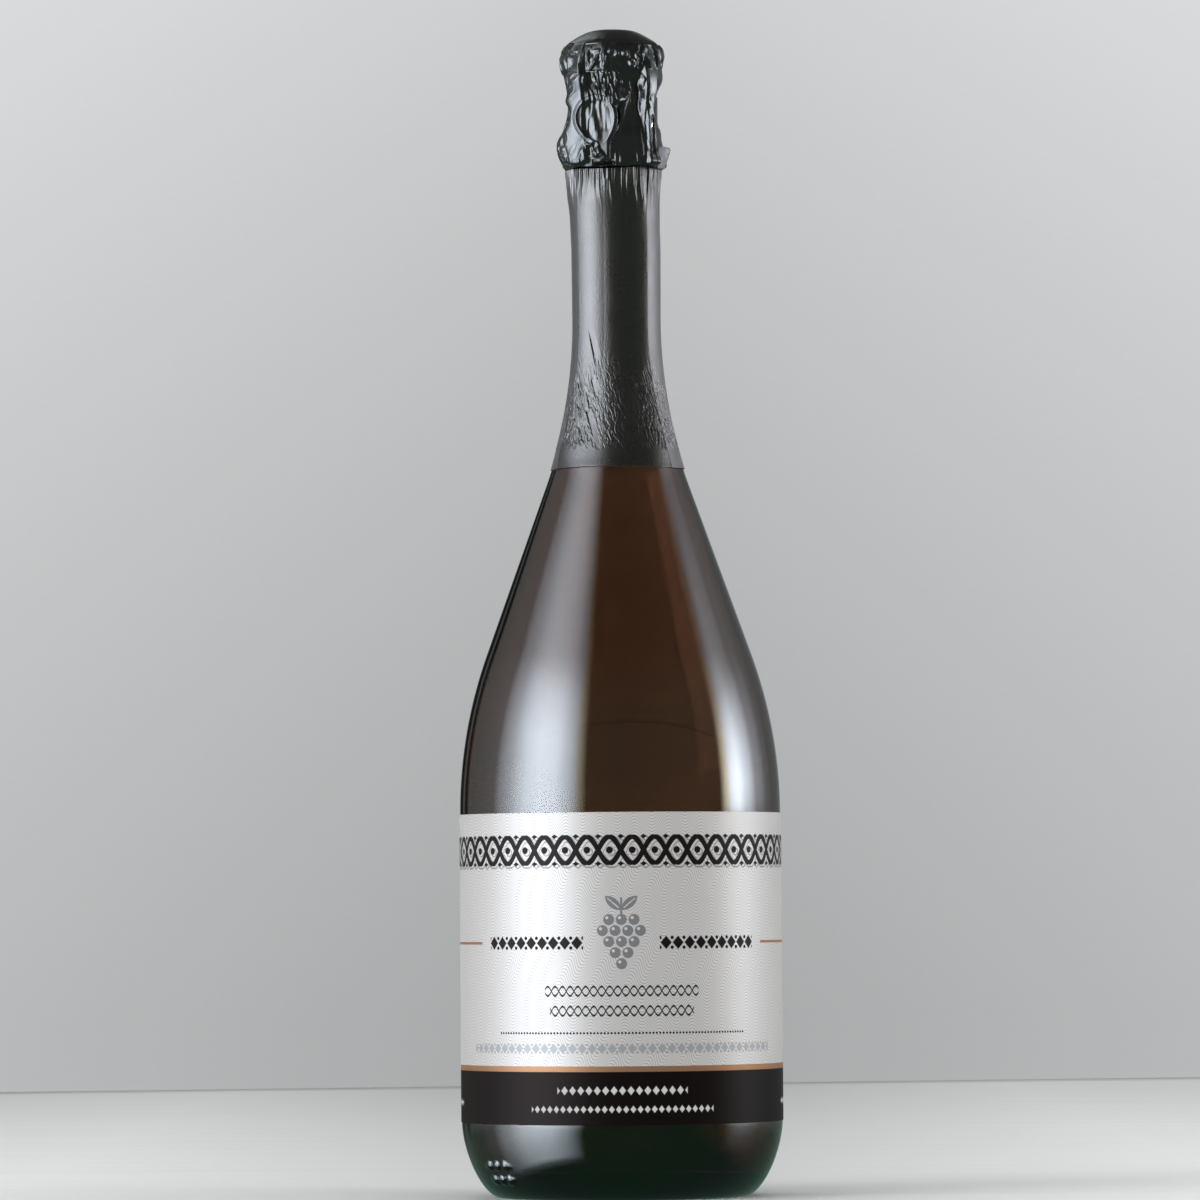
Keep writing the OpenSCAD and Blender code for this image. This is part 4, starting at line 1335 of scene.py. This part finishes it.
def foil_tear_tab():
    """The tab that sticks up from the tear line: a narrow neck, a wide head and rounded corners."""
    s, t = np.meshgrid(np.array(steps(0, 1, 30)), np.array(steps(0, 1, 26)))
    corner = 1 - 0.13 * (1 - np.sqrt(np.clip(1 - ((t - 0.86) / 0.14).clip(0, 1) ** 2, 0, 1)))
    left = np.interp(t, *np.array(tab_left_shares).T) * corner
    right = np.interp(t, *np.array(tab_right_shares).T) * corner
    x, y = mixed(left, right, s) * tab_width, t * tab_height
    dents = 0.12 * rumple(np.stack([x, y, 0 * x], -1), 1.9, 5.5) * smooth(t * 3)
    sag = 0.28 * np.sin(s * math.pi) * t + dents
    out = tab_root_r + foil + y * math.sin(tab_lean) - sag
    z = hood_foot_z + y * math.cos(tab_lean)
    angle = math.radians(tab_azimuth)
    points = np.stack([out * math.cos(angle) - x * math.sin(angle),
                       out * math.sin(angle) + x * math.cos(angle), z], -1)
    piece = mesh_piece("tear_tab", points, grid_faces(*s.shape, False))
    return thicken(piece, foil * pressed_share, 0.0)


# Cork and metal


# Light and dark brown, and the size of the grains in millimetres
pressed_cork = ((0.62, 0.43, 0.25), (0.36, 0.22, 0.11), 1.9)
upper_cork = ((0.66, 0.48, 0.3), (0.5, 0.34, 0.2), 3.4)
lower_cork = ((0.62, 0.44, 0.27), (0.46, 0.3, 0.17), 3.1)


def cork_paint(name, light, dark, cell):
    """Pressed cork: grains of several browns with dark specks between them."""
    paint = Paint(name)
    tone = paint.red(paint.cells(cell, "F1", "Color"))
    fine = paint.noise(0.5, 4)
    gaps = Value(paint, paint.cells(cell, "DISTANCE_TO_EDGE"))
    pores = ((paint.noise(0.9, 3) - 0.63) * 14).held()
    colour = paint.blend((tone * 0.7 + fine * 0.4).held(), dark, light)
    side_shade = (1 - gaps * 9).held()
    colour = paint.blend((side_shade * 0.55).max(pores * 0.7), colour, tuple(c * 0.3 for c in dark))
    height = (fine * 0.5 + 0.5 - pores * 0.6 - side_shade * 0.3).held()
    return paint.finish(base_color=colour, roughness=fine * 0.15 + 0.72, specular_ior_level=0.25,
                        normal=paint.raised(height, 0.12))


def wire_paint():
    """Drawn zinc-coated wire with fine lines and faint dull patches."""
    paint = Paint("drawn_wire")
    dull = paint.noise(2.2, 3)
    fine = paint.noise(0.25, 3)
    colour = paint.blend(dull, (0.42, 0.42, 0.43), (0.66, 0.66, 0.67))
    return paint.finish(base_color=colour, metallic=1.0, roughness=dull * 0.18 + 0.2,
                        normal=paint.raised(fine, 0.01))


def plate_paint():
    """Lacquered crown plate with fine rings from the press."""
    paint = Paint("lacquered_plate")
    x, y, _ = paint.place()
    reach = (x * x + y * y) ** 0.5
    rings = (reach * (math.tau / 1.1)).sin() * 0.5 + 0.5
    worn = ((paint.noise(2.5, 4) - 0.6) * 7).held()
    colour = paint.blend(worn * 0.5, (0.016, 0.016, 0.018), (0.09, 0.09, 0.095))
    return paint.finish(base_color=colour, metallic=0.5, roughness=worn * 0.2 + 0.22,
                        coat_weight=0.6, normal=paint.raised(rings, 0.02))


def dress(piece, body, paint, *nodes):
    """Gives a piece its material and its body, and hides the CAD nodes that it stands for."""
    piece.data.materials.clear()
    piece.data.materials.append(paint)
    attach(piece, body)
    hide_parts(*nodes)
    return piece


def repaint(node, paint):
    """A new material on a CAD node that stays."""
    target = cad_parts[node]
    target.data.materials.clear()
    target.data.materials.append(paint)


# Studio


def plane(name, corners):
    """A flat sheet of the studio from its corners in metres."""
    return mesh_piece(name, np.array(corners, float) / MM, [(0, 1, 2, 3)], False)


wall_y = 3.4
wall_reach = 6
wall_foot, wall_top = -2, 5
floor_reach = 4
floor_back = 1.304
floor_skew = 0.218


def background_wall():
    """A pale wall whose brightness the lamps don't set: it glows for the camera, reflections and refractions,
    with painted light brighter to the sides and upwards and painted shade behind the bottle.
    """
    wall_piece = plane("wall", [(-wall_reach, wall_y, wall_foot), (wall_reach, wall_y, wall_foot),
                                (wall_reach, wall_y, wall_top), (-wall_reach, wall_y, wall_top)])
    paint = Paint("grey_wall")
    x, _, z = paint.place(1)
    up = z.max(0).min(1)
    # Painted light and shade: brighter to the sides and upwards, darker behind the bottle
    light = 0.379 + abs(x).min(0.8) * 0.235 + up * (0.2 + up * 0.13)
    light = light * (0.985 + paint.noise(3, 3, (0.5, 1, 1)) * 0.03)
    grey = paint.join(light * 0.987, light, light * 1.01)
    rays = paint.node("LightPath").outputs
    seen = [Value(paint, rays[kind]) for kind in ("Is Camera Ray", "Is Glossy Ray", "Is Transmission Ray")]
    # The wall glows with this painted light for camera, glossy and transmission rays, and is matt for the
    # rest
    glow = paint.node("Emission", None, {"Color": grey, "Strength": 1.0}).outputs[0]
    matt = paint.node("BsdfDiffuse", None, {"Color": grey}).outputs[0]
    both = paint.node("MixShader", None, {0: seen[0].max(seen[1]).max(seen[2]), 1: matt, 2: glow})
    paint.node("OutputMaterial", None, {"Surface": both.outputs[0]})
    wall_piece.data.materials.append(paint.material)


def studio_floor():
    """A pale brushed table with painted light, brighter to the sides and more so at the right, painted shade
    near the bottle and further back, and a dark back edge painted as shade, soft as if rounded.
    """
    turn = floor_reach * floor_skew
    corners = [(-floor_reach, -floor_reach, 0), (floor_reach, -floor_reach, 0),
               (floor_reach, floor_back + turn, 0), (-floor_reach, floor_back - turn, 0)]
    floor = plane("floor", corners)
    paint = Paint("pale_floor")
    x, y, _ = paint.place(1)
    streaks = paint.noise(26, 5, (0.03, 1, 1), 0.66)
    wide = paint.noise(420, 2, (0.25, 1, 1))
    # Painted light and shade: darker near the bottle and further back, brighter to the sides and more so at
    # the right
    tone = ((abs(x) - 0.045) / 0.13).held() * 0.165 + x.max(0).min(0.2) * 0.12
    tone = tone - y.max(0).min(1.2) * 0.05 + 0.545
    tone = tone * ((streaks - 0.5) * 0.13 + (wide - 0.5) * 0.05 + 1)
    # Painted shade along the back edge, soft as if the edge were rounded
    edge = ((y - x * floor_skew - floor_back) / 0.05 + 1.2).held()
    tone = tone * (1 - edge * 0.42)
    colour = paint.join(tone * 1.02, tone, tone * 0.985)
    floor.data.materials.append(paint.finish(base_color=colour, roughness=0.55, specular_ior_level=0.2))
    floor.visible_glossy = False


# What the studio looks like to anything glossy: degrees round from the camera, or up, and brightness.
# First the two softboxes
softbox_stops = [(-130, 0), (-118, 0.008), (-102, 0.045), (-86, 0.35), (-72, 0.8), (-60, 1.0),
                 (-48, 0.94), (-36, 0.52), (-28.6, 0.17), (-24.5, 0), (77, 0), (81.5, 0.5), (88, 1.0),
                 (94, 1.08), (101, 0.66), (114, 0.15), (129, 0.02), (140, 0)]
softbox_tints = [(-33, (0.9, 1.0, 1.12)), (-28.6, (1.0, 0.93, 0.66)),
                 (80, (1.0, 0.9, 0.62)), (87, (0.92, 1.0, 1.1))]
left_rise_stops = [(-90, 0), (-44, 0.0), (-40, 0.06), (-37, 0.28), (-28, 0.38), (-12, 0.62), (0, 0.95),
                   (15, 1), (20, 0.9), (25.5, 0.74), (31, 0.47), (36, 0.31), (42, 0.2), (50, 0.13),
                   (62, 0.04), (80, 0)]
right_rise_stops = [(-90, 0), (-30, 0.0), (-20, 0.03), (-12, 0.08), (-6, 0.16), (-2.5, 0.32), (0, 0.85),
                    (3, 1), (6, 0.96), (11, 0.76), (21, 0.26), (31, 0.06), (40, 0.04), (60, 0.01),
                    (80, 0)]
softbox_light = 17
sunk_inset = 4.5
# Then the room round them
room_stops = [(-180, 0.4), (-172, 0.25), (-166, 0.02), (-156, 0.02), (-152.5, 0.18), (-150, 0.18),
              (-147.5, 0.02), (-143, 0.02), (-138, 0.3), (-120, 0.45), (-100, 0.3), (-60, 0.2),
              (-20, 0.13), (20, 0.13), (70, 0.18), (110, 0.36), (130, 0.36), (146, 0.26), (152, 0.22),
              (162, 0.24), (172, 0.3), (180, 0.4)]
high_stops = [(-90, 1), (22, 1), (40, 0.25), (60, 0.1), (90, 0.08)]
low_room = 0.13
low_tints = [(-14, (0.95, 1.5, 1.2)), (-5, (1, 1, 1))]
side_tints = [(-90, (0.9, 1.03, 1.02)), (-55, (0.82, 1.25, 0.95)),
              (60, (0.82, 1.25, 0.95)), (85, (0.9, 1.03, 1.02))]
back_glow_turns = [(-172, 0), (-158, 1), (-115, 1), (-100, 0)]
back_glow_rises = [(27, 0), (37, 1), (58, 1), (68, 0)]
back_glow = 1.3
dome_r = 1500
dome_z = 160
# A ramp holds colours up to 1, so brighter stops are divided by these and multiplied again
level_top = 1.3
softbox_tint_top = 1.1
room_tint_top = 2


def level(paint, value, stops, span):
    """The brightness from stops in degrees, at a value that runs from 0 to 1 over a span."""
    grey = paint.ramp(value, [((d + span / 2) / span, (b / level_top,) * 3) for d, b in stops])
    return paint.red(grey) * level_top


def tint(paint, value, stops, span, top):
    """The tint from stops in degrees, divided by the brightest value that it may have."""
    return paint.ramp(value, [((d + span / 2) / span, tuple(c / top for c in colour)) for d, colour in stops])


def softbox_shine(paint, turn, rise, side):
    """The two softboxes. Below the horizon the left one ends a few degrees further out."""
    left = level(paint, rise, left_rise_stops, FULL_TURN / 2)
    right = level(paint, rise, right_rise_stops, FULL_TURN / 2)
    sunk = (0.5 - rise).max(0) * 9
    inset = turn + sunk.min(1) * (1 - side) * (sunk_inset / FULL_TURN)
    boxes = level(paint, inset, softbox_stops, FULL_TURN) * (left * (1 - side) + right * side)
    colour = tint(paint, turn, softbox_tints, FULL_TURN, softbox_tint_top)
    return paint.scaled(colour, boxes * softbox_light * softbox_tint_top)


def room_shine(paint, turn, rise):
    """The room: even and dark below the horizon, with a glow high up behind at the left."""
    half = FULL_TURN / 2
    sunken = ((0.5 - rise) * 20 - 0.55).held()
    room = level(paint, turn, room_stops, FULL_TURN) * level(paint, rise, high_stops, half)
    glow = level(paint, turn, back_glow_turns, FULL_TURN) * level(paint, rise, back_glow_rises, half)
    room = (room + glow * back_glow) * (1 - sunken) + sunken * low_room
    low = tint(paint, rise, low_tints, half, room_tint_top)
    sideways = tint(paint, turn, side_tints, FULL_TURN, room_tint_top)
    return paint.scaled(paint.vector("MULTIPLY", low, sideways), room * room_tint_top ** 2)


def studio_dome():
    """A sphere that only glossy surfaces see, painted as a dark studio with a softbox on each side."""
    rises = [math.radians(e) for e in steps(-90, 90, 24)]
    azimuths = np.array(steps(0, FULL_TURN, 48)[:-1])
    points = [polar(dome_r * math.cos(e), azimuths, dome_r * math.sin(e) + dome_z) for e in rises]
    dome = mesh_piece("studio_dome", np.array(points), grid_faces(len(rises), len(azimuths), True))
    paint = Paint("studio_light")
    x, y, z = paint.place(1)
    turn = paint.math("ARCTAN2", x, -y) / math.tau + 0.5
    rise = paint.math("ARCTAN2", z - dome_z * MM, (x * x + y * y) ** 0.5) / math.pi + 0.5
    side = (x * 50).held()
    shine = softbox_shine(paint, turn, rise, side)
    total = paint.vector("ADD", shine, room_shine(paint, turn, rise))
    light = paint.node("Emission", None, {"Color": total, "Strength": 1.0})
    paint.node("OutputMaterial", None, {"Surface": light.outputs[0]})
    paint.material.cycles.emission_sampling = "NONE"
    dome.data.materials.append(paint.material)
    for ray in ("camera", "diffuse", "transmission", "volume_scatter", "shadow"):
        setattr(dome, "visible_" + ray, False)


bottle_middle = Vector((0, 0, 0.17))
cool_white = (0.97, 0.99, 1.0)


def lamp(name, place, size, power, colour=(1, 1, 1)):
    """A soft rectangular lamp that faces the bottle and shows in no reflection."""
    light = bpy.data.lights.new(name, "AREA")
    light.shape, light.size, light.size_y = "RECTANGLE", size[0], size[1]
    light.energy, light.color = power, colour
    made = bpy.data.objects.new(name, light)
    bpy.context.scene.collection.objects.link(made)
    made.location = place
    made.rotation_euler = (bottle_middle - Vector(place)).to_track_quat("-Z", "Y").to_euler()
    made.visible_camera = False
    made.visible_glossy = False


def lights():
    """Three lamps and an even room, at a level at which a colour renders about as it is written."""
    lamp("left_softbox", (-1.5, -0.9, 0.9), (1.0, 1.2), 17, cool_white)
    lamp("right_softbox", (1.6, -0.4, 0.9), (0.7, 1.2), 11, cool_white)
    lamp("overhead", (0.0, 0.1, 2.0), (1.6, 1.6), 14)
    world = bpy.data.worlds.new("room")
    bpy.context.scene.world = world
    world.use_nodes = True
    back = world.node_tree.nodes["Background"]
    back.inputs["Color"].default_value = (0.6, 0.62, 0.63, 1)
    back.inputs["Strength"].default_value = 0.9


camera_distance = 2.055
camera_height = 0.0795
view_centre = Vector((-0.00515, 0, 0.1653))
view_width = 0.3333
camera_roll = math.radians(-0.42)


def camera():
    """A long lens low in front, aimed so that the bottle fills the frame as in the photograph."""
    data = bpy.data.cameras.new("camera")
    data.sensor_width = 36
    data.lens = data.sensor_width * camera_distance / view_width
    data.clip_start, data.clip_end = 0.05, 50
    made = bpy.data.objects.new("camera", data)
    bpy.context.scene.collection.objects.link(made)
    made.location = (view_centre.x, -camera_distance, camera_height)
    aim = (view_centre - made.location).to_track_quat("-Z", "Y").to_matrix()
    made.rotation_euler = (aim @ Matrix.Rotation(camera_roll, 3, "Z")).to_euler()
    bpy.context.scene.camera = made


def main():
    camera()
    lights()
    background_wall()
    studio_floor()
    studio_dome()
    dress(bottle_glass(), "bottle", glass_paint(), "bottle_glass")
    dress(wine_body(), "bottle", wine_paint(), "wine")
    dress(wrap_label(), "bottle", label_paint(), "wrap_label")
    skirt_foil = foil_paint("neck_lacquer", *neck_lacquer, lap_sheen_and_shade)
    hood_foil = foil_paint("hood_lacquer", *hood_lacquer)
    tab_foil = foil_paint("tab_foil", *tab_lacquer)
    dress(foil_skirt(), "bottle", skirt_foil, "foil_skirt")
    dress(foil_hood(), "foil", hood_foil, "foil_hood")
    dress(foil_top_disc(), "foil", hood_foil, "foil_top_disc")
    dress(foil_tear_tab(), "foil", tab_foil, "foil_tear_tab")
    dress(foil_loop_patch(), "loop", hood_foil, "foil_loop_patch")
    repaint("cork_body", cork_paint("pressed_cork", *pressed_cork))
    repaint("cork_disc_upper", cork_paint("cork_disc", *upper_cork))
    repaint("cork_disc_lower", cork_paint("wine_side_disc", *lower_cork))
    repaint("crown_plate", plate_paint())
    wire = wire_paint()
    for node in ("cage_wire", "belt_wire", "twist_loop"):
        repaint(node, wire)


main()
bpy.context.scene.view_settings.view_transform = "Standard"
